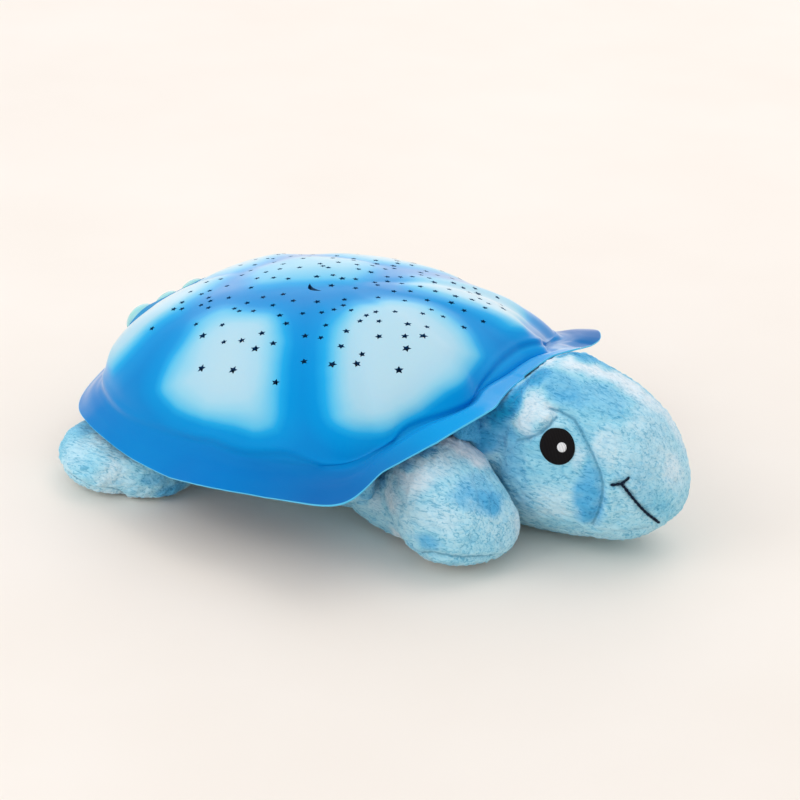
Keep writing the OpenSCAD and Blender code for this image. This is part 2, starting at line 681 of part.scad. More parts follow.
// how far the head swings to either side
neck_swing = 5;
head_len = nose_x - neck_x;
function head_stations() = [
  [2, neck_r * 0.98, 3, neck_top],
  [head_len * 0.09, head_half * 0.78, 1, head_h * 0.834],
  [head_len * 0.19, head_half * 0.93, 0, head_h * 0.94],
  [head_len * 0.31, head_half * 0.965, 0, head_h],
  [head_len * 0.45, head_half * 0.93, 1.3, head_h * 0.947],
  [head_len * 0.58, head_half * 0.88, 3.3, head_h * 0.91],
  [head_len * 0.7, head_half * 0.845, 5.3, head_h * 0.848],
  [head_len * 0.8, head_half * 0.735, 8.4, head_h * 0.782],
  [head_len * 0.885, head_half * 0.59, 17, head_h * 0.665],
  [head_len * 0.955, head_half * 0.356, 23.7, head_h * 0.519],
  [head_len - 0.5, head_half * 0.11, 31, head_h * 0.394]];
module head_form(grow) {
  soft_loft([neck_x, 0], 0, head_stations(), 30, grow, 0.9);
}
module head() {
  placed() color(plush_blue) union() {
    head_form(0);
    translate([neck_x, 0, 4]) cylinder(r = neck_r, h = neck_top - 2);
  }
}
// eyes: low discs of dense stitching that follow the head's side
eye_x = 157;
eye_z = 52.5;
module eye_on(s) {
  intersection() {
    difference() {
      head_form(0.9);
      head_form(0.05);
    }
    translate([eye_x, 0, eye_z]) rotate([s * 74, 0, 0]) translate([0, 0, 20]) cylinder(r = eye_r, h = 40);
  }
}
module eye_right() { placed() color([0.06, 0.05, 0.06]) eye_on(1); }
module eye_left() { placed() color([0.06, 0.05, 0.06]) eye_on(-1); }

torso_top = base_h;
// stations of the plush body: share of the length, share of the half width, low, drop of the top
function torso_stations() = concat(
  [for (t = [[1, 0.2, 6, 8], [0.95, 0.38, 2, 2], [0.84, 0.5, 0, 0], [0.73, 0.54, 0, 0], [0.61, 0.66, 0, 0],
    [0.46, 0.88, 0, 0], [0.29, 0.94, 0, 0], [0.09, 0.98, 0, 0]])
    [-body_back * t[0], body_half * t[1], t[2], torso_top - t[3]]],
  [for (t = [[0.19, 1, 0, 0], [0.42, 0.98, 0, 0], [0.56, 0.94, 0, 0], [0.69, 0.84, 0, 0], [0.83, 0.58, 0, 0],
    [0.94, 0.32, 2, 1], [1, 0.18, 6, 6]])
    [body_front * t[0], body_half * t[1], t[2], torso_top - t[3]]]);
// stuffed collar round the neck and over the shoulders, between the tray's edge and the shell
collar_in = tray_d / 2 + 1.2;
collar_out = neck_rim_x - 8;
collar_top = front_corner_z + 9;
// fuller part of the collar under the arch, beside the neck
arch_pad = 9;
arch_pad_at = neck_rim_x - 3;
arch_pad_top = neck_rim_z - 10.5;
module collar_ring(at, half, top, turn) {
  rotate([0, 0, -turn]) rotate_extrude(angle = 2 * turn, $fn = 72) intersection() {
    translate([at, torso_top - 10]) scale([half, top - torso_top + 10]) circle(r = 1, $fn = 24);
    translate([collar_in, torso_top - 14]) square([collar_out + half, 60]);
  }
}
module collar() {
  collar_ring((collar_in + collar_out) / 2, (collar_out - collar_in) / 2, collar_top, 58);
  collar_ring(arch_pad_at, arch_pad, arch_pad_top, 24);
}
module body_form() {
  difference() {
    union() {
      soft_loft([0, 0], 0, torso_stations(), 36, 0, 0.8);
      collar();
    }
    for (a = [-neck_swing, -neck_swing / 2, 0, neck_swing / 2, neck_swing]) translate([neck_x, 0, 0])
      rotate([0, 0, a]) translate([-neck_x, 0, 0]) head_form(root_gap);
    for (s = [-1, 1]) scale([1, s, 1]) {
      for (a = [-hind_in, 0, hind_out / 2, hind_out]) translate([-hind_x, hind_y, 0]) rotate([0, 0, -a])
        soft_loft([0, 0], -hind_turn, hind_stations(), 26, root_gap, 0.85);
      for (a = [0, fore_out / 2, fore_out]) translate([fore_x, fore_y, 0]) rotate([0, 0, a])
        soft_loft([0, 0], -fore_turn, fore_stations(), 26, root_gap, 0.85);
    }
  }
}
module torso() {
  placed() color(plush_blue) difference() {
    resize([0, 0, 0]) body_form();
    translate([0, 0, -1]) cylinder(r = base_r + 0.3, h = 60, $fn = 96);
    translate([neck_x, 0, -1]) cylinder(r = neck_r + root_gap, h = 90);
    for (s = [-1, 1]) {
      translate([fore_x, s * fore_y, -1]) cylinder(r = fore_root + root_gap, h = root_h + 1);
      translate([-hind_x, s * hind_y, -1]) cylinder(r = hind_root + root_gap, h = 60);
    }
    for (a = post_turns) rotate([0, 0, a])
      translate([post_at, 0, torso_top - 2]) cylinder(r = 3, h = 9);
  }
}

shell();
control_panel();
panel_cover();
panel_screws();
switch_board();
tact_switches();
button_left();
button_centre();
button_right();
plunger_left();
plunger_centre();
plunger_right();
base_housing();
battery_door();
door_screw();
case_screws();
cells();
battery_contacts();
battery_springs();
tray();
shell_screws();
lamp_board();
board_screws();
lamp_holder();
lamp_amber();
lamp_green();
lamp_blue();
timer_chip();
panel_leads();
battery_leads();
torso();
head();
eye_right();
eye_left();
fore_flipper_right();
fore_flipper_left();
hind_flipper_right();
hind_flipper_left();
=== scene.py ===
import math
from contextlib import contextmanager

import bpy
import bmesh
import numpy as np
from mathutils import Matrix, Vector, noise
from mathutils.bvhtree import BVHTree
from mathutils.geometry import delaunay_2d_cdt


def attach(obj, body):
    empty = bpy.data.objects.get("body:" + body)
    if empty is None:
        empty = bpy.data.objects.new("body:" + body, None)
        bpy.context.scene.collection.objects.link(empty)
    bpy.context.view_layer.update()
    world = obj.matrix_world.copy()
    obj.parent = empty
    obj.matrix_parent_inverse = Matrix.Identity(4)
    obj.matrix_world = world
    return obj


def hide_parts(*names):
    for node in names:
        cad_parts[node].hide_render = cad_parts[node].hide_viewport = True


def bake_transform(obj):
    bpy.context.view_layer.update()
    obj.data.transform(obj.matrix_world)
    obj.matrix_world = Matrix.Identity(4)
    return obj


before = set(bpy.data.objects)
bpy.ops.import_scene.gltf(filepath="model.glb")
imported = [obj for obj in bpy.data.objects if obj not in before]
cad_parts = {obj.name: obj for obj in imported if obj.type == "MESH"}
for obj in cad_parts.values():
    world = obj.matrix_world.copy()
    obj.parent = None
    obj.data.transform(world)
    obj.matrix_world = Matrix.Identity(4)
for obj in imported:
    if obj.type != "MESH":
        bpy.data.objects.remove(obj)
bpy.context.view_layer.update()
MM = 0.001
MID = 39.0  # the shell's own middle lies this far behind the frame's origin


# ---------------------------------------------------------------- camera

PHOTO_PX = 800
YAW, PITCH = math.radians(34.2), math.radians(24.3)
FOCAL_PX, CENTRE_PX = 2484.5, (389.6, 396.2)
LOOK_AT, DISTANCE, SENSOR = Vector((-5.5, 0, 45)) * MM, 1.313, 36
UP = Vector((0, 0, 1))

right = Vector((math.cos(YAW), math.sin(YAW), 0))
level = Vector((-math.sin(YAW), math.cos(YAW), 0))
ahead = level * math.cos(PITCH) - UP * math.sin(PITCH)
upward = level * math.sin(PITCH) + UP * math.cos(PITCH)
eye = LOOK_AT - ahead * DISTANCE
cam_data = bpy.data.cameras.new("camera")
cam = bpy.data.objects.new("camera", cam_data)
bpy.context.scene.collection.objects.link(cam)
cam.matrix_world = Matrix((
    (right.x, upward.x, -ahead.x, eye.x),
    (right.y, upward.y, -ahead.y, eye.y),
    (right.z, upward.z, -ahead.z, eye.z),
    (0, 0, 0, 1)))
cam_data.sensor_width = SENSOR
cam_data.lens = FOCAL_PX / PHOTO_PX * SENSOR
cam_data.shift_x = (PHOTO_PX / 2 - CENTRE_PX[0]) / PHOTO_PX
cam_data.shift_y = (CENTRE_PX[1] - PHOTO_PX / 2) / PHOTO_PX
cam_data.clip_start = 0.05
cam_data.clip_end = 20
bpy.context.scene.camera = cam


def ray_at(px, py):
    """Direction through a pixel of the photograph's frame."""
    x = (px - CENTRE_PX[0]) / FOCAL_PX
    y = (py - CENTRE_PX[1]) / FOCAL_PX
    return (ahead + right * x - upward * y).normalized()


# ---------------------------------------------------------------- materials

BLACK, WHITE = (0, 0, 0), (1, 1, 1)


def grey(value):
    return (value,) * 3


def tint(colour, gain, lift=0.0):
    return tuple(min(1, c * gain + lift) for c in colour)


def srgb(r, g, b):
    def lin(v):
        v /= 255
        return v / 12.92 if v <= 0.04045 else ((v + 0.055) / 1.055) ** 2.4
    return (lin(r), lin(g), lin(b))


def fill(tree, socket, value):
    """Links an output to a socket, or sets the socket's own number or colour."""
    if hasattr(value, "is_linked"):
        tree.links.new(value, socket)
    elif socket.type == "RGBA" and len(value) == 3:
        socket.default_value = (*value, 1)
    else:
        socket.default_value = value


def feed(tree, n, **values):
    """Fills a node's sockets, which are named with _ for a space."""
    for key, value in values.items():
        fill(tree, n.inputs[key.replace("_", " ")], value)


def node(tree, kind, **values):
    """A new node with its settings and sockets."""
    n = tree.nodes.new(kind)
    for key in [k for k in values if hasattr(n, k)]:
        setattr(n, key, values.pop(key))
    feed(tree, n, **values)
    return n


def maths(tree, operation, *terms):
    n = node(tree, "ShaderNodeMath", operation=operation)
    for socket, term in zip(n.inputs, terms):
        fill(tree, socket, term)
    return n.outputs[0]


def rescale(tree, value, low, high):
    """0 up to low, 1 from high on."""
    return node(tree, "ShaderNodeMapRange", Value=value, From_Min=low, From_Max=high).outputs["Result"]


def coords(tree, scale=(1, 1, 1), turn=(0, 0, 0)):
    place = node(tree, "ShaderNodeTexCoord").outputs["Object"]
    return node(tree, "ShaderNodeMapping", Vector=place, Scale=scale, Rotation=turn).outputs["Vector"]


def noise_tex(tree, vec, scale, detail=3, rough=0.5, distort=0.0):
    n = node(tree, "ShaderNodeTexNoise", Vector=vec, Scale=scale, Detail=detail, Roughness=rough,
             Distortion=distort)
    return n.outputs["Fac"]


def ramp(tree, fac, stops):
    r = node(tree, "ShaderNodeValToRGB", Fac=fac)
    els = r.color_ramp.elements
    while len(els) < len(stops):
        els.new(0.5)
    for el, (pos, col) in zip(els, stops):
        el.position = pos
        el.color = (*col, 1)
    return r.outputs["Color"]


def mix(tree, a, b, fac, blend="MIX"):
    m = node(tree, "ShaderNodeMix", data_type="RGBA", blend_type=blend)
    for name, kind, value in (("Factor", "VALUE", fac), ("A", "RGBA", a), ("B", "RGBA", b)):
        fill(tree, next(s for s in m.inputs if s.name == name and s.type == kind), value)
    return next(s for s in m.outputs if s.type == "RGBA")


def bump(tree, bsdf, height, strength, distance, before=None):
    b = node(tree, "ShaderNodeBump", Strength=strength, Distance=distance, Height=height)
    if before is not None:
        feed(tree, b, Normal=before)
    feed(tree, bsdf, Normal=b.outputs["Normal"])
    return b.outputs["Normal"]


def attribute(tree, name):
    return node(tree, "ShaderNodeAttribute", attribute_name=name).outputs["Fac"]


def material(name, colour, rough=0.5, metal=0.0, **more):
    mat = bpy.data.materials.new(name)
    mat.use_nodes = True
    tree = mat.node_tree
    bsdf = tree.nodes["Principled BSDF"]
    feed(tree, bsdf, Base_Color=colour, Roughness=rough, Metallic=metal, **more)
    return mat, tree, bsdf


def plastic(name, colour, rough=0.45, **more):
    """Moulded plastic: a fine grain, with the colour and gloss slightly uneven."""
    mat, tree, bsdf = material(name, colour, rough, **more)
    vec = coords(tree)
    broad = noise_tex(tree, vec, 22)
    feed(tree, bsdf,
         Base_Color=ramp(tree, broad, [(0.35, tint(colour, 0.94)), (0.65, tint(colour, 1.04))]),
         Roughness=ramp(tree, broad, [(0.3, grey(rough * 0.9)), (0.7, grey(min(1, rough * 1.12)))]))
    bump(tree, bsdf, noise_tex(tree, vec, 900, 2), 0.06, 0.0002)
    return mat


def metal(name, colour, rough=0.3):
    """Plated metal, drawn out along Z."""
    mat, tree, bsdf = material(name, colour, rough, 1.0)
    drawn = noise_tex(tree, coords(tree, (1, 1, 6)), 700)
    feed(tree, bsdf,
         Base_Color=ramp(tree, drawn, [(0.3, tint(colour, 0.85)), (0.7, colour)]),
         Roughness=ramp(tree, drawn, [(0.3, grey(rough * 0.8)), (0.7, grey(rough * 1.3))]))
    bump(tree, bsdf, drawn, 0.1, 0.0001)
    return mat


def thread_material(name, colour):
    """Dense embroidery thread."""
    mat, tree, bsdf = material(name, colour, 0.7, Specular_IOR_Level=0.12)
    wave = node(tree, "ShaderNodeTexWave", Vector=coords(tree), Scale=420, Distortion=1.5, Detail=2)
    strands = wave.outputs["Fac"]
    stops = [(0.1, tint(colour, 0.6)), (0.8, tint(colour, 1.5, 0.004))]
    feed(tree, bsdf, Base_Color=ramp(tree, strands, stops))
    bump(tree, bsdf, strands, 0.5, 0.0003)
    return mat


def plush_material(name):
    """Short pile: soft tie-dye clouds, fine lines of fibre that lie down and forward, sheen; the fibre lines
    and the tufts darken the colour as painted shade between them.

    The attribute tone is 0.5 where the dye is plain, 1 where pale and 0 where deep, and in places it carries
    painted shade and painted highlight instead of dye; seam is 1 in a seam, where shade is painted into the
    groove."""
    mat, tree, bsdf = material(
        name, srgb(130, 185, 214), 0.95, Sheen_Weight=0.25, Sheen_Roughness=0.5,
        Sheen_Tint=(0.72, 0.90, 1.0), Specular_IOR_Level=0.1)
    cloud = noise_tex(tree, coords(tree), 24, 3, 0.5, 1.1)
    col = ramp(tree, cloud, [
        (0.30, srgb(134, 205, 230)), (0.42, srgb(156, 217, 237)),
        (0.54, srgb(174, 225, 241)), (0.68, srgb(196, 233, 245))])
    # tone mixes in pale and deep dye, and in places painted shade and painted highlight
    tone = attribute(tree, "tone")
    col = mix(tree, col, srgb(238, 246, 251), ramp(tree, tone, [(0.5, BLACK), (1.0, WHITE)]))
    col = mix(tree, col, srgb(104, 188, 230), ramp(tree, tone, [(0.22, WHITE), (0.5, BLACK)]))
    col = mix(tree, col, srgb(0, 152, 204), ramp(tree, tone, [(0.0, WHITE), (0.22, BLACK)]))
    # the fibres' space is turned so that its long way lies down and forward
    laid = coords(tree, (0.28, 1.0, 1.0), (0.5, math.radians(38), 0.3))
    fibre = noise_tex(tree, laid, 600, 3, 0.65, 1.2)
    clump = noise_tex(tree, laid, 280, 3, 0.6, 1.4)
    # the fibre lines darken the colour as painted shade between the fibres and lighten it a little on their
    # tips as painted highlight; the tufts darken it as painted shade between tufts
    fibre_shade = ramp(tree, fibre, [
        (0.36, (0.36, 0.62, 0.74)), (0.45, (0.80, 0.92, 0.96)), (0.54, WHITE), (0.72, (1.1, 1.05, 1.03))])
    col = mix(tree, col, fibre_shade, ramp(tree, tone, [(0.5, grey(0.95)), (1.0, grey(0.3))]), "MULTIPLY")
    tufts = ramp(tree, clump, [(0.34, (0.62, 0.80, 0.88)), (0.50, WHITE)])
    col = mix(tree, col, tufts, ramp(tree, tone, [(0.5, grey(0.85)), (1.0, grey(0.25))]), "MULTIPLY")
    # the seams' grooves are darkened as painted shade
    sewn = ramp(tree, attribute(tree, "seam"), [(0.25, BLACK), (1.0, grey(0.75))])
    feed(tree, bsdf, Base_Color=mix(tree, col, srgb(64, 136, 170), sewn))
    bump(tree, bsdf, fibre, 0.7, 0.0007, bump(tree, bsdf, clump, 0.6, 0.0012))
    return mat


def shell_material():
    """Airbrushed plastic: pale scutes, bright bands between them and a deeper skirt.

    The attribute depth comes from scute_depth and fold from past_fold; rho is as in shell_at."""
    mat, tree, bsdf = material(
        "airbrushed_shell", srgb(10, 140, 220), 0.34, Coat_Roughness=0.3, Subsurface_Weight=0.1,
        Subsurface_Radius=(0.4, 0.9, 1.2), Subsurface_Scale=0.002)
    vec = coords(tree)
    spray = maths(tree, "MULTIPLY_ADD", noise_tex(tree, vec, 30, 2), 4.0, attribute(tree, "depth"))
    band = ramp(tree, rescale(tree, spray, -16, 24), [
        (0.0, srgb(0, 134, 206)), (0.28, srgb(0, 147, 216)), (0.38, srgb(30, 168, 227)),
        (0.45, srgb(90, 192, 231)), (0.58, srgb(144, 208, 231)), (0.70, srgb(170, 214, 231)),
        (0.85, srgb(178, 215, 230)), (1.0, srgb(181, 216, 229))])
    skirt = ramp(tree, noise_tex(tree, vec, 14, 2), [(0.3, srgb(0, 121, 197)), (0.7, srgb(0, 134, 206))])
    place = node(tree, "ShaderNodeSeparateXYZ", Vector=vec).outputs
    # the rim's high front is lighter, as painted light, and the two front corners are darker, as painted
    # shade
    skirt = mix(tree, skirt, srgb(20, 159, 226), rescale(tree, place["Z"], 0.048, 0.062))
    side = maths(tree, "ABSOLUTE", place["Y"])
    folded = node(tree, "ShaderNodeCombineXYZ", X=place["X"], Y=side, Z=place["Z"])
    reach = node(tree, "ShaderNodeVectorMath", operation="DISTANCE", Vector=folded.outputs[0])
    reach.inputs[1].default_value = (0.045, 0.122, 0.045)
    corner = ramp(tree, reach.outputs["Value"], [(0.012, grey(0.85)), (0.07, BLACK)])
    skirt = mix(tree, skirt, srgb(0, 98, 170), corner)
    col = mix(tree, band, skirt, rescale(tree, attribute(tree, "fold"), -2.0, 5.0))
    col = mix(tree, col, srgb(92, 200, 240), rescale(tree, attribute(tree, "rho"), RIM_EDGE, 2.0))
    facing = node(tree, "ShaderNodeLayerWeight", Blend=0.5).outputs["Facing"]
    feed(tree, bsdf, Base_Color=col,
         Specular_IOR_Level=ramp(tree, facing, [
             (0.0, grey(0.03)), (0.5, grey(0.08)), (0.75, grey(0.45)), (0.95, WHITE)]),
         Coat_Weight=ramp(tree, facing, [(0.66, BLACK), (0.86, grey(0.5)), (0.97, WHITE)]),
         Roughness=ramp(tree, noise_tex(tree, vec, 60), [(0.3, grey(0.31)), (0.7, grey(0.39))]))
    waves = bump(tree, bsdf, noise_tex(tree, vec, 60, 2), 0.18, 0.0006)
    bump(tree, bsdf, noise_tex(tree, vec, 900, 2), 0.05, 0.0001, waves)
    return mat


# ---------------------------------------------------------------- mesh helpers

FLIP = np.array((1, -1, 1))


def link(ob):
    bpy.context.scene.collection.objects.link(ob)
    return ob


def smooth_faces(ob):
    ob.data.polygons.foreach_set("use_smooth", [True] * len(ob.data.polygons))


def mesh_object(name, verts, faces, scale=MM):
    me = bpy.data.meshes.new(name)
    me.from_pydata([tuple(float(c) * scale for c in v) for v in verts], [], faces)
    me.update()
    ob = link(bpy.data.objects.new(name, me))
    smooth_faces(ob)
    return ob


@contextmanager
def editing(me):
    """The mesh as a bmesh, which is written back at the end."""
    bm = bmesh.new()
    bm.from_mesh(me)
    yield bm
    bm.to_mesh(me)
    bm.free()


def active(ob):
    bpy.ops.object.select_all(action="DESELECT")
    ob.select_set(True)
    bpy.context.view_layer.objects.active = ob


def apply_all(ob):
    active(ob)
    for m in list(ob.modifiers):
        bpy.ops.object.modifier_apply(modifier=m.name)


def join(obs, name):
    active(obs[0])
    for o in obs:
        o.select_set(True)
    bpy.ops.object.join()
    obs[0].name = name
    return obs[0]


def read_floats(items, key, width=3):
    values = np.empty(len(items) * width)
    items.foreach_get(key, values)
    return values.reshape(-1, width) if width > 1 else values


def read_verts(ob):
    return read_floats(ob.data.vertices, "co")


def read_normals(ob):
    return read_floats(ob.data.vertices, "normal")


def read_attribute(ob, name):
    return read_floats(ob.data.attributes[name].data, "value", 1)


def write_verts(ob, co):
    ob.data.vertices.foreach_set("co", co.ravel())
    ob.data.update()


def write_attribute(ob, name, values):
    at = ob.data.attributes.get(name) or ob.data.attributes.new(name, "FLOAT", "POINT")
    at.data.foreach_set("value", np.asarray(values, dtype=np.float32))


def weight_group(ob, name, weights):
    group = ob.vertex_groups.new(name=name)
    for k, w in enumerate(weights):
        group.add([k], float(w), "REPLACE")


def even_out(ob, rounds, group=""):
    """A smoothing modifier, which apply_all applies."""
    s = ob.modifiers.new("even", "SMOOTH")
    s.factor = 0.5
    s.iterations = rounds
    s.vertex_group = group


def smoothstep(x, a, b):
    t = np.clip((x - a) / (b - a), 0, 1)
    return t * t * (3 - 2 * t)


def hump(x, a, b, c, d):
    """Rises from a to b and falls from c to d."""
    return smoothstep(x, a, b) * (1 - smoothstep(x, c, d))


def bell(x, middle, width):
    return np.exp(-((x - middle) / width) ** 2)


def catmull(a, b, c, d, t):
    """A point of the curve from b to c that also heeds a and d."""
    bend = (2 * a - 5 * b + 4 * c - d) * t * t
    return 0.5 * (2 * b + (c - a) * t + bend + (3 * b - a - 3 * c + d) * t ** 3)


def polar(r, angle):
    return np.stack([r * np.cos(angle), r * np.sin(angle)], -1)


# ---------------------------------------------------------------- shell surface

# the shell's sizes in mm, as in the solids: neck arch, front corner, side, rear corner, tail,
# the crease's way in and up, the top and the wall
NECK_X, NECK_Z, ARCH, HORN = 113, 79, 46, 9
FC = (90, 126, 48)
SIDE = (124, 32)
RC = (114, 80, 31)
TAIL = (133, 39)
FLARE, CREASE, CLIMB = 15, 49, 25
TOP, WALL = 102, 2.2
TURN = math.radians(87)
EASE, CORNER_TURN, CORNER_SPREAD = 0.55, 0.205, 0.047
RIM_EDGE = 1.985  # rho from which the sheet's bare edge shows
# radii of the crease and the rim in the drawing plane, where the sheet is unrolled and cut
CREASE_R, RIM_R = 118, 144

# half of the rim from the neck to the tail, and how far in and how high the crease is at each point
rim = np.array([
    [NECK_X, 0, NECK_Z], [NECK_X + HORN * 0.25, ARCH * 0.52, NECK_Z], [NECK_X + HORN, ARCH, NECK_Z - 1],
    [NECK_X - 10, ARCH + 22, NECK_Z - 15], [FC[0] + 5, FC[1] - 34, FC[2] + 8], list(FC),
    [FC[0] - 51, SIDE[0] - 2, SIDE[1] + 5], [FC[0] - 93, SIDE[0], SIDE[1]],
    [-RC[0] * 0.61, (SIDE[0] + RC[1]) / 2 + 5, RC[2]], [-RC[0], RC[1], RC[2]],
    [-TAIL[0] + 4, RC[1] * 0.5, TAIL[1] - 3], [-TAIL[0], 0, TAIL[1]]], float)
c_in = [9, 12, 17, 15, 17, 30, FLARE, FLARE + 1, FLARE - 2, FLARE - 1, FLARE, FLARE]
c_up = [CREASE + CLIMB, CREASE + CLIMB, CREASE + CLIMB - 2, CREASE + CLIMB * 0.64, CREASE + CLIMB * 0.42,
        CREASE + CLIMB * 0.28, CREASE + 1, CREASE, CREASE - 1, CREASE - 2, CREASE - 1, CREASE]
crease = np.array([[*(p[:2] * (1 - i / math.hypot(*p[:2]))), z] for p, i, z in zip(rim, c_in, c_up)])


def loop_of(half):
    return np.vstack([half, half[10:0:-1] * FLIP])


rim_loop, crease_loop = loop_of(rim), loop_of(crease)


def on_loop(pts, u):
    n = len(pts)
    s = (u - np.floor(u)) * n
    i = np.floor(s).astype(int) % n
    t = (s - np.floor(s))[..., None]
    return catmull(pts[(i - 1) % n], pts[i], pts[(i + 1) % n], pts[(i + 2) % n], t)


def ease_at(u):
    w = np.asarray(u, float) % 1
    return 1 + EASE * bell(np.minimum(w, 1 - w), CORNER_TURN, CORNER_SPREAD)


def shell_at(u, rho):
    """Places on the shell in mm. u turns round it from the neck, away from the camera first.

    rho is 0 at the top, 1 at the crease and 2 at the rim's edge."""
    u, rho = np.asarray(u, float), np.asarray(rho, float)
    c, e = on_loop(crease_loop, u), on_loop(rim_loop, u)
    w = np.clip(rho, 0, 1) * TURN
    k = (np.sin(w) / math.sin(TURN))[..., None]
    fall = np.clip((np.cos(w) - math.cos(TURN)) / (1 - math.cos(TURN)), 0, 1)
    f = (fall ** ease_at(u))[..., None]
    dome = np.concatenate([c[..., :2] * k, c[..., 2:] + (TOP - c[..., 2:]) * f], -1)
    g = np.clip(rho - 1, 0, 1)[..., None]
    out = e - c
    skirt = c + np.concatenate([out[..., :2] * (g * (0.55 + 0.45 * g)), out[..., 2:] * g], -1)
    return np.where((rho <= 1)[..., None], dome, skirt)


def shell_normal(u, rho):
    du, dr = 0.0015, 0.006
    r = np.maximum(np.asarray(rho, float), 0.02)
    a = shell_at(u + du, r) - shell_at(u - du, r)
    b = shell_at(u, r + dr) - shell_at(u, r - dr)
    n = np.cross(b, a)
    n /= np.linalg.norm(n, axis=-1, keepdims=True) + 1e-12
    return n


def shell_point(u, rho):
    return shell_at(np.array([u]), np.array([rho]))[0]


def shell_under(x, y, turns, low, high, rings):
    """u, rho and place of the shell below or above (x, y), the nearest in a grid of turns by rings."""
    us, rs = np.meshgrid(np.linspace(0, 1, turns, endpoint=False), np.linspace(low, high, rings))
    grid = shell_at(us, rs)
    best = np.unravel_index(np.argmin(np.hypot(grid[..., 0] - x, grid[..., 1] - y)), us.shape)
    return float(us[best]), float(rs[best]), grid[best]


# a scute is its outer edge and the edge of its full paint, as (bearing in degrees from the head, rho);
# bearings are below 0 on the camera's side
MID_SCUTE = (
    [(-113.5, 0.80), (-116, 0.70), (-121.8, 0.526), (-127.3, 0.45), (-127.7, 0.364), (-117, 0.336),
     (-103, 0.304), (-92.6, 0.324), (-82, 0.408), (-75.4, 0.573), (-72.7, 0.722), (-73.5, 0.785),
     (-78, 0.826), (-94.7, 0.852), (-105, 0.852)],
    [(-106.3, 0.72), (-106.8, 0.65), (-112.5, 0.538), (-114.5, 0.471), (-113.5, 0.413), (-104.2, 0.376),
     (-98, 0.371), (-90, 0.46), (-83.4, 0.55), (-81.2, 0.66), (-82.3, 0.707), (-88.8, 0.737),
     (-95.2, 0.765), (-102.1, 0.735)])
FORE_SCUTE = (
    [(-56.8, 0.433), (-57, 0.344), (-54.9, 0.262), (-46.8, 0.204), (-30.4, 0.199), (-6, 0.23), (4, 0.30),
     (6, 0.364), (4, 0.461), (0, 0.565), (-3.7, 0.665), (-5.9, 0.735), (-12.7, 0.782), (-24.8, 0.80),
     (-32, 0.865), (-40.2, 0.859), (-44, 0.81), (-48, 0.75), (-53.2, 0.697), (-55.2, 0.668), (-56.3, 0.56)],
    [(-50.4, 0.423), (-49.4, 0.359), (-45.4, 0.296), (-37.8, 0.267), (-24.2, 0.245), (-13.8, 0.269),
     (-4.9, 0.339), (-6, 0.433), (-8, 0.558), (-11.9, 0.638), (-18.2, 0.655), (-25.8, 0.71),
     (-32.8, 0.765), (-40.2, 0.755), (-44.8, 0.712), (-48.8, 0.64), (-50.8, 0.56)])
FAR_FORE_SCUTE = (
    [(57, 0.43), (57, 0.344), (55, 0.262), (47, 0.23), (33, 0.25), (26, 0.34), (24, 0.46), (21, 0.565),
     (19, 0.66), (22, 0.70), (30, 0.71), (38, 0.72), (44, 0.70), (50, 0.66), (55, 0.60)],
    [(50, 0.423), (49, 0.36), (45, 0.31), (38, 0.31), (33, 0.38), (31, 0.50), (29, 0.58), (31, 0.62),
     (36, 0.64), (41, 0.63), (46, 0.60), (50, 0.54)])
REAR_SCUTE = (
    [(-139, 0.86), (-138, 0.74), (-142, 0.588), (-144, 0.50), (-151, 0.44), (-165, 0.41), (-176, 0.43),
     (-177.5, 0.62), (-177, 0.84), (-150, 0.87)],
    [(-142.3, 0.785), (-141.4, 0.71), (-144.4, 0.60), (-147.4, 0.53), (-157, 0.49), (-168, 0.48),
     (-172, 0.62), (-171, 0.77), (-150, 0.79)])
CROWN_SCUTE = (
    [(-172, 0.28), (-157, 0.22), (-162, 0.12), (160, 0.03), (70, 0.05), (84, 0.12), (92, 0.20),
     (105, 0.26), (125, 0.27), (150, 0.29), (172, 0.31)],
    [(140, 0.20), (128, 0.20), (128, 0.215), (140, 0.22)])
# the crease as (turn round the shell, rho); it wanders up and down like a sagging fold
FOLD = [
    (0.0, 0.86), (0.041, 0.85), (0.072, 0.84), (0.12, 0.91), (0.156, 0.97), (0.19, 1.07), (0.205, 1.25),
    (0.222, 1.12), (0.24, 0.99), (0.26, 0.93), (0.30, 0.98), (0.33, 1.05), (0.36, 1.22), (0.39, 1.15),
    (0.43, 1.08), (0.5, 1.05), (0.57, 1.08), (0.61, 1.15), (0.6215, 1.235), (0.635, 1.25), (0.644, 1.20),
    (0.6535, 1.12), (0.662, 1.13), (0.667, 1.06), (0.677, 0.974), (0.686, 0.969), (0.698, 0.989),
    (0.711, 0.979), (0.732, 0.939), (0.742, 0.919), (0.749, 0.946), (0.758, 0.979), (0.767, 1.026),
    (0.783, 1.093), (0.804, 1.143), (0.824, 1.046), (0.844, 0.949), (0.870, 0.969), (0.889, 0.979),
    (0.93, 0.985), (0.95, 0.965), (0.975, 0.91)]


def unroll(bearing, rho):
    return polar(CREASE_R * np.asarray(rho, float), np.radians(np.asarray(bearing, float)))


def outline(points):
    """Closed, softly rounded outline through the given corners."""
    p = unroll(*np.array(points, float).T)
    out = []
    for a, b, c, d in zip(np.roll(p, 1, 0), p, np.roll(p, -1, 0), np.roll(p, -2, 0)):
        for t in (0, 0.25, 0.5, 0.75):
            out.append((catmull(a, b, c, d, t) + (b + (c - b) * t)) * 0.5)
    return np.array(out)


def across(points):
    return [(-b, r) for b, r in points][::-1]


SCUTES = []
for edges in (MID_SCUTE, FORE_SCUTE, FAR_FORE_SCUTE, REAR_SCUTE, CROWN_SCUTE):
    SCUTES.append([outline(e) for e in edges])
for edges in (MID_SCUTE, REAR_SCUTE):
    SCUTES.append([outline(across(e)) for e in edges])


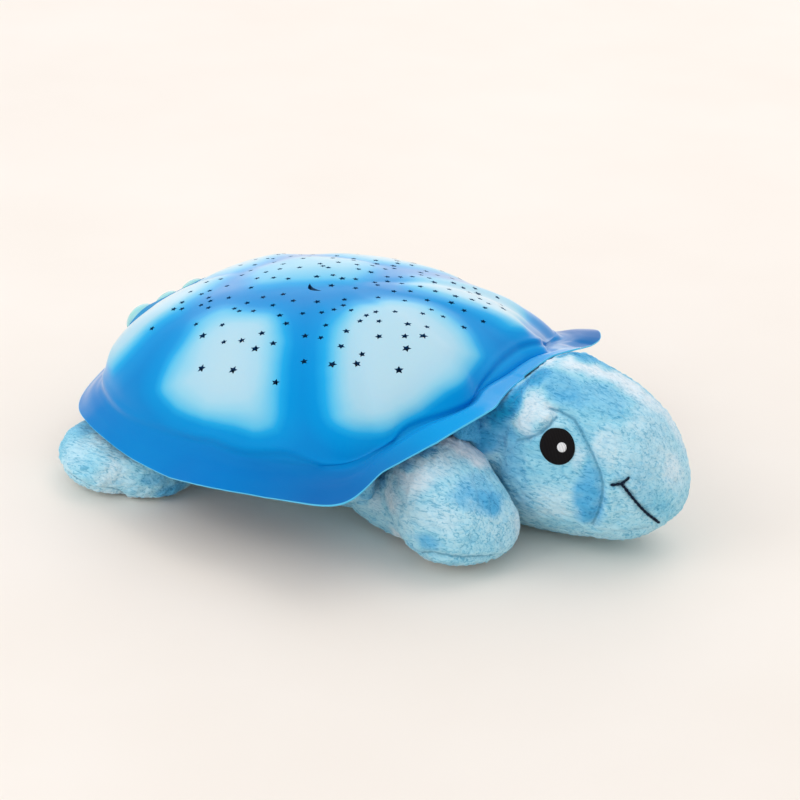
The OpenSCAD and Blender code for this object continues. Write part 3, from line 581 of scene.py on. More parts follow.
def signed_distance(q, poly):
    """Distance to the outline, positive inside."""
    best = np.full(len(q), 1e9)
    inside = np.zeros(len(q), bool)
    for p0, p1 in zip(poly, np.roll(poly, -1, axis=0)):
        e = p1 - p0
        w = q - p0
        t = np.clip((w @ e) / (e @ e + 1e-12), 0, 1)
        best = np.minimum(best, np.linalg.norm(w - t[:, None] * e, axis=1))
        cond = (p0[1] > q[:, 1]) != (p1[1] > q[:, 1])
        with np.errstate(divide="ignore", invalid="ignore"):
            x = p0[0] + (q[:, 1] - p0[1]) / (p1[1] - p0[1]) * e[0]
        inside ^= cond & (q[:, 0] < x)
    return np.where(inside, best, -best)


def scute_depth(u, rho):
    """0 at a scute's edge, 10 where its paint is full, more inside; below 0, in mm, in the bands between."""
    p = shell_at(u, np.minimum(rho, 1.0))
    q = unroll(np.degrees(np.arctan2(p[:, 1], p[:, 0])), rho)
    best = np.full(len(q), -1e9)
    for outer, inner in SCUTES:
        d, full = signed_distance(q, outer), signed_distance(q, inner)
        part = np.where(full > 0, 10 + full, 10 * d / np.maximum(d - full, 1e-6))
        best = np.maximum(best, np.where(d < 0, d, part))
    return best


def arc(rho):
    """Radius in the drawing plane."""
    return np.where(rho <= 1, CREASE_R * rho, CREASE_R + (RIM_R - CREASE_R) * (rho - 1))


fold_u = np.linspace(0, 1, 300, endpoint=False)
fold_rho = np.interp(fold_u, *zip(*FOLD), period=1)
fold_rho = sum(np.roll(fold_rho, k) for k in (-2, -1, 0, 1, 2)) / 5


def past_fold(u, rho):
    """How far, in mm, a place lies outside the crease."""
    return arc(rho) - arc(np.interp(np.asarray(u) % 1, fold_u, fold_rho, period=1))


def shell_relief(u, rho, depth):
    """Height of the moulded relief along the normal, in mm."""
    fold = past_fold(u, rho)
    h = 1.5 * smoothstep(depth, -8, 6) + 1.1 * smoothstep(depth, 0, 24)
    h *= 1 - smoothstep(fold, -13, -2)
    # a soft roll along the crease, a groove outside it and a swell along the skirt
    h += 0.8 * bell(fold, -4.4, 3.4)
    h -= 0.55 * bell(fold, 1.2, 2.4)
    h += 0.8 * bell(rho, 1.62, 0.22) * smoothstep(fold, 4, 12)
    # two slack folds along the front of the rim
    w = np.asarray(u) % 1
    front = hump(w, 0.79, 0.84, 0.96, 1.0) + hump(w, 0.0, 0.04, 0.16, 0.2)
    h += front * (0.5 * bell(rho, 1.42, 0.13) - 0.3 * bell(rho, 1.22, 0.10))
    return h


# the button panel's seat on the dome's back, as in the solids
PANEL_TURN, PANEL_AT = 0.5, 77  # at the tail, in degrees down the dome
BUTTON_PITCH, BUTTON_R, BUTTON_GAP, PANEL_BORDER, PANEL_PLAY = 22.6, 19 / 2, 0.35, 2.6, 0.15
PANEL_HALF = BUTTON_R + BUTTON_GAP + PANEL_BORDER
seat, above, below = (shell_point(PANEL_TURN, a / 90) for a in (PANEL_AT, PANEL_AT - 0.5, PANEL_AT + 0.5))
rise = above - below
panel_up = rise / np.linalg.norm(rise)
panel_out = np.array([-panel_up[2], 0, panel_up[0]])


def flat(u, rho):
    """Shell parameters to the drawing plane in which the mesh is cut."""
    return polar(arc(rho), 2 * np.pi * u)


def flat_point(u, rho):
    return flat(np.array([u]), np.array([rho]))[0]


def unflat(q):
    r = np.linalg.norm(q, axis=-1)
    u = np.arctan2(q[..., 1], q[..., 0]) / (2 * np.pi)
    rho = np.where(r <= CREASE_R, r / CREASE_R, 1 + (r - CREASE_R) / (RIM_R - CREASE_R))
    return u, np.minimum(rho, 2.0)


def flat_outline(u0, r0, points3):
    """Drawing-plane places of points that lie near one shell point, found by Newton's method."""
    du, dr = 0.0008, 0.002
    out = []
    for p in points3:
        u, r = u0, r0
        for _ in range(12):
            ju = (shell_point(u + du, r) - shell_point(u - du, r)) / (2 * du)
            jr = (shell_point(u, r + dr) - shell_point(u, r - dr)) / (2 * dr)
            step = np.linalg.lstsq(np.stack([ju, jr], 1), p - shell_point(u, r), rcond=None)[0]
            u += float(np.clip(step[0], -0.02, 0.02))
            r += float(np.clip(step[1], -0.08, 0.08))
        out.append(flat_point(u, r))
    return out


def tangents(u, r):
    n = shell_normal(np.array([u]), np.array([r]))[0]
    x = np.cross([0, 0, 1.0], n)
    x = x / np.linalg.norm(x) if np.linalg.norm(x) > 1e-3 else np.array([1.0, 0, 0])
    return x, np.cross(n, x)


# the stars that the photograph shows, as (turn round the shell, rho, size class)
STARS = [
    (0.395, 0.047, 0), (0.683, 0.030, 1), (0.126, 0.130, 0), (0.174, 0.117, 0), (0.237, 0.057, 0),
    (0.324, 0.140, 0), (0.393, 0.110, 0), (0.405, 0.127, 0), (0.502, 0.072, 1), (0.550, 0.147, 0),
    (0.710, 0.149, 1), (0.818, 0.122, 0), (0.994, 0.077, 0), (0.074, 0.187, 0), (0.103, 0.234, 0),
    (0.242, 0.202, 0), (0.242, 0.242, 0), (0.247, 0.164, 0), (0.322, 0.227, 0), (0.406, 0.152, 0),
    (0.463, 0.169, 0), (0.490, 0.222, 0), (0.543, 0.197, 0), (0.581, 0.244, 0), (0.626, 0.229, 0),
    (0.635, 0.174, 0), (0.653, 0.242, 0), (0.663, 0.184, 0), (0.701, 0.232, 0), (0.738, 0.202, 0),
    (0.763, 0.172, 0), (0.802, 0.152, 0), (0.826, 0.202, 0), (0.978, 0.182, 0), (0.015, 0.267, 0),
    (0.062, 0.314, 0), (0.123, 0.324, 0), (0.141, 0.272, 0), (0.236, 0.291, 0), (0.256, 0.301, 0),
    (0.297, 0.274, 0), (0.332, 0.319, 0), (0.509, 0.254, 0), (0.540, 0.254, 0), (0.553, 0.346, 0),
    (0.601, 0.314, 0), (0.628, 0.284, 0), (0.632, 0.334, 0), (0.640, 0.334, 0), (0.649, 0.306, 0),
    (0.674, 0.279, 1), (0.691, 0.306, 1), (0.729, 0.339, 1), (0.749, 0.329, 0), (0.752, 0.264, 0),
    (0.792, 0.294, 1), (0.837, 0.284, 0), (0.860, 0.272, 0), (0.875, 0.326, 0), (0.885, 0.264, 0),
    (0.928, 0.296, 0), (0.010, 0.441, 0), (0.118, 0.396, 1), (0.153, 0.371, 0), (0.207, 0.394, 0),
    (0.219, 0.436, 0), (0.266, 0.401, 0), (0.281, 0.396, 0), (0.304, 0.394, 0), (0.314, 0.354, 0),
    (0.435, 0.404, 0), (0.438, 0.426, 0), (0.465, 0.396, 0), (0.510, 0.351, 0), (0.523, 0.413, 0),
    (0.562, 0.394, 0), (0.569, 0.413, 0), (0.585, 0.376, 0), (0.596, 0.371, 0), (0.599, 0.404, 0),
    (0.610, 0.389, 0), (0.648, 0.426, 0), (0.679, 0.396, 1), (0.697, 0.421, 1), (0.766, 0.441, 2),
    (0.778, 0.359, 1), (0.817, 0.433, 1), (0.858, 0.406, 1), (0.892, 0.441, 1), (0.915, 0.381, 1),
    (0.984, 0.379, 0), (0.013, 0.543, 1), (0.067, 0.453, 0), (0.103, 0.508, 0), (0.122, 0.463, 1),
    (0.130, 0.538, 0), (0.142, 0.498, 0), (0.211, 0.526, 0), (0.530, 0.458, 0), (0.555, 0.476, 0),
    (0.581, 0.468, 0), (0.590, 0.496, 0), (0.594, 0.468, 0), (0.629, 0.471, 0), (0.646, 0.503, 2),
    (0.662, 0.496, 0), (0.671, 0.461, 1), (0.685, 0.473, 2), (0.738, 0.456, 1), (0.803, 0.456, 2),
    (0.883, 0.511, 2), (0.917, 0.471, 2), (0.951, 0.453, 0), (0.055, 0.565, 0), (0.603, 0.598, 0),
    (0.663, 0.640, 2), (0.681, 0.598, 2), (0.720, 0.588, 1), (0.862, 0.610, 2)]
STAR_R = (1.85, 2.15, 2.55)
MOON, MOON_CLEAR = (-6.6, -12.4), 7  # mm from the shell's middle, and the space left round it
rng = np.random.default_rng(11)


def star_places():
    """The seen stars, their mirror images where there is room, and a few more on the far side."""
    places = []

    def add(u, r, size, gap):
        p = shell_point(u, r)
        by_moon = math.hypot(p[0] - MOON[0], p[1] - MOON[1]) < MOON_CLEAR
        by_panel = p[0] < -74 and abs(p[1]) < 42 and r > 0.6
        if not by_moon and not by_panel and all(np.linalg.norm(p - s[2]) > gap for s in places):
            places.append((u % 1, r, p, size))

    for u, r, k in STARS:
        add(u, r, STAR_R[k], gap=3.4)
    for u, r, k in STARS:
        if u > 0.5:
            add(-u, r, STAR_R[k], gap=6.0)
    for _ in range(160):
        r = 0.2 + 0.4 * rng.random()
        add(0.5 * rng.random(), r, STAR_R[int(r > 0.42)], gap=10.5)
    spots = np.array([s[2] for s in places])
    room = [np.sort(np.linalg.norm(spots - s, axis=1))[1] for s in spots]
    return [(u, r, p, min(size, 0.46 * gap)) for (u, r, p, size), gap in zip(places, room)]


def star_outline(u, r, p, size):
    x, y = tangents(u, r)
    turn = rng.random() * 2 * math.pi
    tips = []
    for k in range(10):
        a = turn + k * math.pi / 5
        tips.append(p + (x * math.cos(a) + y * math.sin(a)) * (size if k % 2 == 0 else size * 0.5))
    return flat_outline(u, r, tips)


def moon_outline():
    """The crescent near the crown, whose chord and bulge are laid as the camera sees them."""
    u, r, middle = shell_under(*MOON, 400, 0.02, 0.3, 60)
    chord, bulge = np.array(right * 0.56 - level * 0.83), np.array(-right * 0.83 - level * 0.56)
    bow = [(t, 4.1) for t in np.linspace(-1, 1, 13)] + [(t, 1.3) for t in np.linspace(0.9, -0.9, 10)]
    points = [middle + chord * 5.8 * t + bulge * (sag * (1 - t * t) - 1.6) for t, sag in bow]
    return flat_outline(u, r, points)


def panel_outline():
    """The rounded slot that the button panel fills."""
    half = PANEL_HALF + PANEL_PLAY
    us, rs = np.meshgrid(np.linspace(0.40, 0.60, 400), np.linspace(0.5, 1.4, 400))
    rel = shell_at(us, rs) - seat
    sx, sy, sn = rel @ panel_up, rel[..., 1], rel @ panel_out
    out = []
    for y, start in ((BUTTON_PITCH, 0), (-BUTTON_PITCH, math.pi)):
        for a in np.linspace(start, start + math.pi, 13):
            miss = np.hypot(sx - half * math.cos(a), sy - (y + half * math.sin(a)))
            i = np.unravel_index(np.argmin(miss + (np.abs(sn) > 25) * 50), us.shape)
            out.append(flat_point(us[i], rs[i]))
    return out


def in_holes(q, holes, margin):
    """True for places of the drawing plane that lie in a hole or within the margin of one."""
    hit = np.zeros(len(q), bool)
    for h in holes:
        near = np.where(np.all((q > h.min(0) - 0.6) & (q < h.max(0) + 0.6), axis=1))[0]
        if len(near):
            hit[near[signed_distance(q[near], h) > -margin]] = True
    return hit


def cut_sheet():
    """The unrolled sheet with its holes, as places of the drawing plane and triangles."""
    holes = [np.array(star_outline(*s)) for s in star_places()]
    holes += [np.array(moon_outline()), np.array(panel_outline())]
    points, edges = [], []

    def add_points(qs, closed):
        start, n = len(points), len(qs)
        points.extend([tuple(map(float, q)) for q in qs])
        if closed:
            edges.extend([(start + i, start + (i + 1) % n) for i in range(n)])

    for hole in holes:
        add_points(hole, True)
    add_points([(0.0, 0.0)], False)
    step = 2.0
    radii = list(np.arange(step, CREASE_R - step * 0.4, step)) + [CREASE_R]
    radii += list(np.linspace(CREASE_R, RIM_R, 18))[1:]
    for r in radii:
        skirt = r >= CREASE_R - 0.1
        n = int(2 * math.pi * CREASE_R / step) if skirt else max(12, int(2 * math.pi * r / step))
        shift = 0.5 if int(r / step) % 2 and not skirt else 0
        q = polar(r, (np.arange(n) + shift) * 2 * math.pi / n)
        if r > RIM_R - 0.1:
            add_points(q, True)
        else:
            add_points(q[~in_holes(q, holes, 0.55)], False)
    res = delaunay_2d_cdt([Vector(p) for p in points], edges, [], 0, 1e-6)
    places = np.array([tuple(v) for v in res[0]])
    tris = np.array([f for f in res[2] if len(f) == 3])
    return places, tris[~in_holes(places[tris].mean(axis=1), holes, 0)]


# how the rim hangs unevenly, as (turn round the shell, mm up) and (turn, mm forward)
RIM_SAG = [
    (0.0, -1.5), (0.02, -1.2), (0.04, -0.8), (0.055, 0), (0.17, 0), (0.185, -1.5), (0.20, -1.4),
    (0.21, 0.2), (0.22, 2.2), (0.23, 4.4), (0.236, 5.0), (0.242, 2.6), (0.248, -0.6), (0.26, -0.8),
    (0.28, 0), (0.59, 0), (0.61, 1.9), (0.63, 1.6), (0.65, 0.2), (0.67, 0.6), (0.68, 2.4), (0.69, 3.1),
    (0.70, 2.9), (0.71, 2.2), (0.73, 0.8), (0.75, 1.7), (0.79, 1.9), (0.81, 1.4), (0.82, 0.2),
    (0.83, -0.8), (0.85, -2.2), (0.87, -3.2), (0.89, -2.0), (0.91, -1.5), (0.93, -2.2), (0.95, -2.2),
    (0.99, -1.8)]
RIM_PUSH = [(0.0, 2.6), (0.02, 1.8), (0.05, 0), (0.9, 0), (0.93, 2.2), (0.95, 3.8), (0.98, 3.8)]


def hang_rim(pos, u, rho):
    """The rim's unevenness, and the left front corner bent up and in like a leaf."""
    turn = u % 1
    loose = smoothstep(rho, 1.2, 2.0)
    pos[:, 2] += np.interp(turn, *zip(*RIM_SAG)) * loose
    pos[:, 0] += np.interp(turn, *zip(*RIM_PUSH)) * loose
    tip = bell(turn, 0.221, 0.010) * smoothstep(rho, 1.3, 2.0)
    pos[:, :2] *= (1 - 0.016 * tip)[:, None]


def build_shell():
    """The sheet as one surface, thickened inward, thinner at its edge."""
    places, tris = cut_sheet()
    u, rho = unflat(places)
    depth = scute_depth(u, rho)
    nor = shell_normal(u, rho)
    nor[rho < 0.03] = (0, 0, 1)
    pos = shell_at(u, rho) + nor * shell_relief(u, rho, depth)[:, None]
    pos[:, 0] -= MID
    hang_rim(pos, u, rho)
    e1 = pos[tris[:, 1]] - pos[tris[:, 0]]
    e2 = pos[tris[:, 2]] - pos[tris[:, 0]]
    flip = np.sum(np.cross(e1, e2) * nor[tris[:, 0]], axis=1) < 0
    tris[flip] = tris[flip][:, ::-1]
    ob = mesh_object("shell_dome", pos, [tuple(map(int, t)) for t in tris])
    write_attribute(ob, "depth", depth)
    write_attribute(ob, "rho", rho)
    write_attribute(ob, "fold", past_fold(u, rho))
    with editing(ob.data) as bm:
        bmesh.ops.delete(bm, geom=[v for v in bm.verts if not v.link_faces], context="VERTS")
    ob.data.materials.append(shell_material())
    # the inside of the shell and the walls of its holes are dark navy as painted shade, so that the holes
    # look dark
    ob.data.materials.append(plastic("shell_inside", srgb(10, 84, 138), 0.55))
    weight_group(ob, "wall", 1 - 0.6 * smoothstep(read_attribute(ob, "rho"), 1.7, 2.0))
    sol = ob.modifiers.new("wall", "SOLIDIFY")
    sol.vertex_group = "wall"
    sol.thickness = WALL * MM
    sol.offset = -1
    sol.use_even_offset = False
    sol.material_offset = 1
    sol.material_offset_rim = 1
    apply_all(ob)
    smooth_faces(ob)
    at = read_attribute(ob, "rho")
    for poly in ob.data.polygons:
        if poly.material_index and min(at[v] for v in poly.vertices) > RIM_EDGE:
            poly.material_index = 0
    ob.data.set_sharp_from_angle(angle=math.radians(42))
    return ob


# the screw posts' radius, their distance from the shell's middle and the height of the tray's top, in mm
POST_R, POST_AT, POST_FOOT = 4, 73, 40.5
POST_TURNS = (30, 90, 150, 210, 270, 330)


def shell_post(turn, materials):
    """One of the screw posts that carry the shell, from the tray up into the dome."""
    bpy.ops.mesh.primitive_cylinder_add(vertices=24, radius=POST_R * MM, depth=1)
    post = bpy.context.object
    x, y = POST_AT * math.cos(turn), POST_AT * math.sin(turn)
    top = shell_under(x, y, 360, 0.3, 1.0, 120)[2][2] - WALL * 0.7
    co = read_verts(post)
    co[:, 2] = np.where(co[:, 2] > 0, top * MM, POST_FOOT * MM)
    co[:, 0] += (x - MID) * MM
    co[:, 1] += y * MM
    write_verts(post, co)
    for name, value in (("rho", 0.5), ("depth", 4.0), ("fold", -20.0)):
        write_attribute(post, name, np.full(len(co), value))
    smooth_faces(post)
    post.data.set_sharp_from_angle(angle=math.radians(40))
    for mat in materials:
        post.data.materials.append(mat)
    for poly in post.data.polygons:
        poly.material_index = 1
    return post


shell = build_shell()
posts = [shell_post(math.radians(turn), shell.data.materials) for turn in POST_TURNS]
shell = join([shell] + posts, "shell_dome")
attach(shell, "base")
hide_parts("shell")


# ---------------------------------------------------------------- plush

SWELL = 1.0  # mm taken off before the stuffing swells the skin again
MOST_SWELL, LEAST_SWELL = 3.0, 0.15  # mm that the stuffing may move a free place and a held one
FLOOR = 0.0002  # the lowest place of a soft piece, in metres
FRAMES = 20
CLOTH = {
    "quality": 5, "mass": 0.3, "tension_stiffness": 12, "compression_stiffness": 12, "shear_stiffness": 4,
    "bending_stiffness": 0.6, "use_pressure": True, "uniform_pressure_force": 4.0}


def drop_stray(ob):
    """Only the largest closed part of a remeshed skin stays."""
    with editing(ob.data) as bm:
        bm.verts.ensure_lookup_table()
        seen, groups = set(), []
        for v in bm.verts:
            if v.index in seen:
                continue
            group, stack = [], [v]
            seen.add(v.index)
            while stack:
                a = stack.pop()
                group.append(a)
                for e in a.link_edges:
                    b = e.other_vert(a)
                    if b.index not in seen:
                        seen.add(b.index)
                        stack.append(b)
            groups.append(group)
        groups.sort(key=len)
        for group in groups[:-1]:
            bmesh.ops.delete(bm, geom=group, context="VERTS")


def skin_of(node_name, name, voxel, blobs=(), reach=1.3):
    """A remeshed copy of a soft solid, with further swellings as (centre, radii) in mm.

    It is evened out up to reach times a swelling's radii."""
    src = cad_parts[node_name]
    me = src.data.copy()
    me.name = name
    me.materials.clear()
    me.transform(src.matrix_world)
    ob = link(bpy.data.objects.new(name, me))
    with editing(me) as bm:
        bmesh.ops.remove_doubles(bm, verts=bm.verts, dist=1e-6)
        for centre, radii in blobs:
            place = Matrix.Translation(Vector(centre) * MM) @ Matrix.Diagonal((*radii, 1))
            bmesh.ops.create_icosphere(bm, subdivisions=4, radius=MM, matrix=place)
    m = ob.modifiers.new("remesh", "REMESH")
    m.mode = "VOXEL"
    m.voxel_size = voxel * MM
    even_out(ob, 4)
    apply_all(ob)
    if blobs:
        p = read_verts(ob) / MM
        near = np.min([np.linalg.norm((p - np.array(c)) / np.array(r), axis=1) for c, r in blobs], axis=0)
        weight_group(ob, "joined", 1 - smoothstep(near, reach, reach + 0.5))
        even_out(ob, 10, "joined")
        apply_all(ob)
    drop_stray(ob)
    smooth_faces(ob)
    return ob


def held(p, holds):
    """1 where the skin may swell, 0 where it is sewn in or lies against a neighbour.

    holds are (x, y, radius held, radius free)."""
    free = np.ones(len(p))
    for x, y, r0, r1 in holds:
        free = np.minimum(free, smoothstep(np.hypot(p[:, 0] - x, p[:, 1] - y), r0, r1))
    return free


def simulated(ob):
    """The skin's places after the cloth simulation."""
    m = ob.modifiers.new("Cloth", "CLOTH")
    for key, value in CLOTH.items():
        setattr(m.settings, key, value)
    m.settings.effector_weights.gravity = 0
    m.point_cache.frame_start = 1
    m.point_cache.frame_end = FRAMES
    scene = bpy.context.scene
    for f in range(1, FRAMES + 1):
        scene.frame_set(f)
    done = ob.evaluated_get(bpy.context.evaluated_depsgraph_get())
    out = read_verts(done)
    ob.modifiers.remove(m)
    scene.frame_set(1)
    return out


def stuff(ob, holds):
    """The skin is blown up by its filling and keeps to the space it has."""
    co, no = read_verts(ob), read_normals(ob)
    free = held(co / MM, holds) * smoothstep(co[:, 2] / MM, 0.5, 5)
    shrink = no * (free * SWELL * MM)[:, None]
    start = co - shrink
    write_verts(ob, start)
    move = simulated(ob) - start
    size = np.linalg.norm(move, axis=1, keepdims=True) + 1e-12
    limit = (LEAST_SWELL + (MOST_SWELL - LEAST_SWELL) * free)[:, None] * MM
    move *= np.minimum(1, limit / size)
    start = start + move
    start[:, 2] = np.maximum(start[:, 2], FLOOR)
    write_verts(ob, start)
    even_out(ob, 3)
    sub = ob.modifiers.new("sub", "SUBSURF")
    sub.levels = 2
    apply_all(ob)
    smooth_faces(ob)


def path_distance(p, pts):
    best = np.full(len(p), 1e9)
    for a, b in zip(pts[:-1], pts[1:]):
        e = b - a
        t = np.clip(((p - a) @ e) / (e @ e + 1e-9), 0, 1)
        best = np.minimum(best, np.linalg.norm(p - a - t[:, None] * e, axis=1))
    return best


def fluff(ob, seams=(), lump=0.5, pile=0.35, lie=(1.0, 0.0, -0.6), calm=()):
    """Seam grooves, stuffing lumps and tufts of pile, moved along the normals.

    seams are (path, depth, width) and calm places, which stay even, (centre, radius)."""
    co, no = read_verts(ob), read_normals(ob)
    p = co / MM
    move = np.zeros(len(co))
    sewn = np.zeros(len(co))
    for pts, depth, width in seams:
        away = path_distance(p, np.array(pts, float))
        move -= depth * bell(away, 0, width)
        # the seam attribute marks where the material paints shade into the groove
        sewn = np.maximum(sewn, bell(away, 0, 0.9) * min(1, depth / 1.5))
        move += depth * 0.35 * bell(away, width * 2.6, width * 1.6)
    # tufts are longer along the way the pile lies
    way = Vector(lie).normalized()
    broad = np.array([noise.fractal(Vector(v * 0.035), 1.0, 2.0, 2) for v in p])
    tufts = np.empty(len(p))
    for i, v in enumerate(p):
        q = Vector(v)
        tufts[i] = noise.fractal((q - way * q.dot(way) * 0.62) * 0.42, 0.7, 2.3, 3)
    tufts = pile * tufts + lump * broad
    for centre, radius in calm:
        tufts *= smoothstep(np.linalg.norm(p - centre, axis=1), radius, radius + 4)
    move += tufts
    write_attribute(ob, "seam", sewn)
    co = co + no * (move * MM)[:, None]
    co[:, 2] = np.maximum(co[:, 2], FLOOR)
    write_verts(ob, co)


def surface_tree(ob):
    return BVHTree.FromObject(ob, bpy.context.evaluated_depsgraph_get())


def path_on(tree, pixels):
    """Places in mm and normals where pixels of the photograph's frame meet a surface."""
    hits = [tree.ray_cast(eye, ray_at(px, py)) for px, py in pixels]
    return [(np.array(loc) / MM, np.array(nor)) for loc, nor, _, _ in hits if loc is not None]


def dense(points, step):
    """Points at most about a step apart along a line through the given points."""
    out = []
    for a, b in zip(points[:-1], points[1:]):
        a, b = np.array(a), np.array(b)
        n = max(1, int(np.linalg.norm(b - a) / step))
        out += [tuple(a + (b - a) * k / n) for k in range(n)]
    out.append(tuple(points[-1]))
    return out


def on_both_sides(path):
    """A path's places, and their mirror image."""
    places = [p for p, _ in path]
    return [places, [p * FLIP for p in places]]


def tone_spots(ob, spots, seen=()):
    """Dye, painted shade and painted highlight: tone is 0.5 where plain, to 1 pale, to 0 deep blue.

    spots are (centre, radii, value) in mm; seen are (pixel x, pixel y, radii, value) on the surface there."""
    p = read_verts(ob) / MM
    tree = surface_tree(ob)
    spots = list(spots)
    for px, py, radii, value in seen:
        spots += [(place, radii, value) for place, _ in path_on(tree, [(px, py)])]
    tone = np.full(len(p), 0.5)
    ragged = 0.4 * np.array([noise.fractal(Vector(v * 0.09), 1.0, 2.0, 3) for v in p])
    for centre, radii, value in spots:
        away = np.linalg.norm((p - np.array(centre)) / np.array(radii), axis=1) + ragged
        tone += (1 - smoothstep(away, 0.3, 1.35)) * (value - tone) * 0.92
    write_attribute(ob, "tone", np.clip(tone, 0, 1))


plush = plush_material("plush_pile")


def finish_plush(ob, body, node_name, bend=None):
    """When bend is given, the skin is left unattached with its transform baked in; the places in bend are not
    used.
    """
    ob.data.materials.clear()
    ob.data.materials.append(plush)
    if bend:
        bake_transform(ob)
    else:
        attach(ob, body)
    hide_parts(node_name)


def mirrored(ob, name):
    new = ob.copy()
    new.data = ob.data.copy()
    new.name = name
    link(new)
    write_verts(new, read_verts(new) * FLIP)
    with editing(new.data) as bm:
        bmesh.ops.reverse_faces(bm, faces=bm.faces)
    smooth_faces(new)
    return new


VOXEL, BODY_VOXEL = 4.0, 2.6
NECK, NECK_R = 112 - MID, 24
FORE_X, FORE_Y, FORE_ROOT = 82 - MID, -47, 22
HIND_X, HIND_Y, HIND_ROOT, HIND_LEN, HIND_HALF = -63 - MID, -82, 25, 58, 37.5
HIND_HEADING, HIND_SEAM_Z = math.radians(182), 8

# the head's seams, eye and mouth as pixels of the photograph
CHEEK_PX = [
    (549, 408), (560, 411), (574, 419), (582, 433), (590, 450), (598, 470), (602, 486), (601, 500),
    (597, 514), (592, 525)]
DART_PX = [(556, 417), (548, 426), (540, 433), (528, 438), (516, 440)]
SMILE_PX = [(621.4, 483.8), (629, 493), (638.5, 505), (648, 514.4), (659, 522.3)]
TICK_PX = [(610.4, 484.8), (616, 484.6), (621.4, 483.8), (625.5, 481), (629.3, 476.7)]
EYE_PX = (557.5, 446.4)
# the edge seam of the near front flipper
FORE_SEAM_PX = [
    (399, 540), (407, 549), (418.6, 553.4), (431.4, 553.7), (447.5, 556.6), (463.6, 558.5), (479.7, 558.5),
    (495.7, 556.6), (507, 553.4), (516, 546), (522, 534)]
# spots of dye, painted shade and painted highlight seen in the frame, as (pixel x, pixel y, radii in mm,
# tone)
HEAD_SEEN = [
    (532, 406, (12, 12, 9), 0.9), (526, 419, (10, 10, 9), 0.88), (545, 414, 7, 0.85),
    # the pale strip along the head's top, from (548, 363) to (684, 445), is partly pale dye and partly
    # painted highlight
    (548, 363, (10, 10, 5), 1.0), (574, 360, (12, 12, 6), 1.0), (598, 367, (12, 12, 6), 1.0),
    (618, 379, (12, 12, 6), 1.0), (637, 392, (12, 12, 7), 0.97), (653, 403, (12, 12, 7), 0.95),
    (671, 420, (12, 12, 8), 0.92), (684, 445, (10, 10, 12), 0.8), (568, 395, (12, 10, 6), 0.2),
    (600, 392, (14, 12, 5), 0.36), (620, 405, (14, 12, 8), 0.38), (556, 381, (12, 10, 5), 0.33),
    (591, 478, (6, 7, 10), 0.22), (590, 496, (8, 8, 9), 0.15), (584, 511, (9, 9, 8), 0.13),
    # the deep spots from (540, 372) to (486, 436) are painted shade that the rim casts on the neck
    (530, 379, (9, 9, 5), 0.02), (519, 392, (9, 9, 6), 0.02), (508, 407, (9, 10, 7), 0.0),
    (496, 422, (9, 10, 8), 0.0), (486, 436, (9, 10, 9), 0.05), (505, 440, (9, 9, 9), 0.25),
    (512, 462, (10, 10, 12), 0.36), (540, 372, (8, 8, 4), 0.08), (525, 500, (8, 8, 14), 0.42),
    (552, 505, (12, 12, 10), 0.64), (578, 455, (4, 5, 8), 0.72), (606, 445, (8, 8, 14), 0.76),
    (640, 470, (20, 16, 18), 0.62), (650, 430, 16, 0.64), (672, 468, (8, 9, 12), 0.8),
    # the deep band from (569, 353) to (605, 365) is painted shade under the rim on the head's far top
    (569, 353, (7, 9, 3), 0.1), (581, 355, (7, 9, 3), 0.1), (593, 359, (7, 9, 3), 0.14),
    (605, 365, (7, 9, 3), 0.28)]
FORE_SEEN = [
    (470, 494, (10, 10, 7), 0.26), (482, 500, (11, 11, 7), 0.2), (492, 505, (7, 7, 7), 0.16),
    (478, 482, (8, 8, 4), 0.36), (454, 440, (10, 10, 6), 0.97), (466, 450, (12, 12, 8), 1.0),
    (478, 456, (11, 11, 7), 1.0), (492, 466, (11, 11, 8), 1.0), (505, 478, (10, 10, 9), 0.97),
    (516, 496, (7, 7, 11), 0.88), (519, 520, (7, 7, 10), 0.8), (425, 542, (9, 9, 5), 0.25),
    (412, 548, (8, 8, 4), 0.4), (415, 478, (14, 12, 9), 0.85), (440, 462, (10, 10, 6), 0.7),
    (435, 520, (16, 12, 7), 0.64), (390, 500, (10, 10, 7), 0.85), (399, 535, (5, 6, 9), 0.95),
    # the deep spots by the rim at (362, 497), (384, 480), (405, 465) and (424, 450) are painted shade under
    # the rim
    (372, 500, (9, 9, 7), 0.75), (362, 497, (6, 8, 5), 0.3), (384, 480, (7, 7, 3), 0.3),
    (405, 465, (7, 7, 3), 0.3), (424, 450, (7, 7, 3), 0.2)]
HIND_SEEN = [
    (88, 440, (12, 14, 10), 0.62), (110, 470, (14, 14, 9), 0.66), (140, 486, (18, 14, 8), 0.62),
    # the deep spots by the rim at (172, 492) and (155, 480) are painted shade under the rim
    (96, 462, 8, 0.5), (92, 425, (12, 14, 5), 0.3), (172, 492, (10, 10, 6), 0.16),
    (155, 480, (10, 10, 4), 0.3), (75, 455, (8, 10, 12), 0.64)]
# painted shade where the rim shades the neck and torso
TORSO_SHADE_SEEN = [(460, 424, (9, 9, 6), 0.03), (466, 434, (8, 8, 5), 0.15)]
# and the rest, as (centre in mm, radii in mm, tone)
HEAD_SPOTS = [((85, 30, 62), 20, 0.9), ((112, 32, 30), (12, 14, 20), 0.3), ((100, 36, 70), 16, 0.3)]
FORE_SPOTS = [((80, -80, 1), (60, 60, 6), 0.9)]
FORE_LEFT_SPOTS = [((70, 75, 30), 18, 0.2), ((95, 66, 30), 16, 0.9), ((80, 80, 1), (60, 60, 6), 0.9)]
HIND_SPOTS = [((-120, -80, 1), (80, 60, 5), 0.9)]
HIND_LEFT_SPOTS = [
    ((-150, 80, 24), 18, 0.3), ((-115, 100, 20), 18, 0.85), ((-120, 80, 1), (80, 60, 5), 0.9)]
# painted shade: the torso's front, deep under the shell
TORSO_SHADE_SPOTS = [((60, 0, 45), (50, 90, 60), 0.1)]


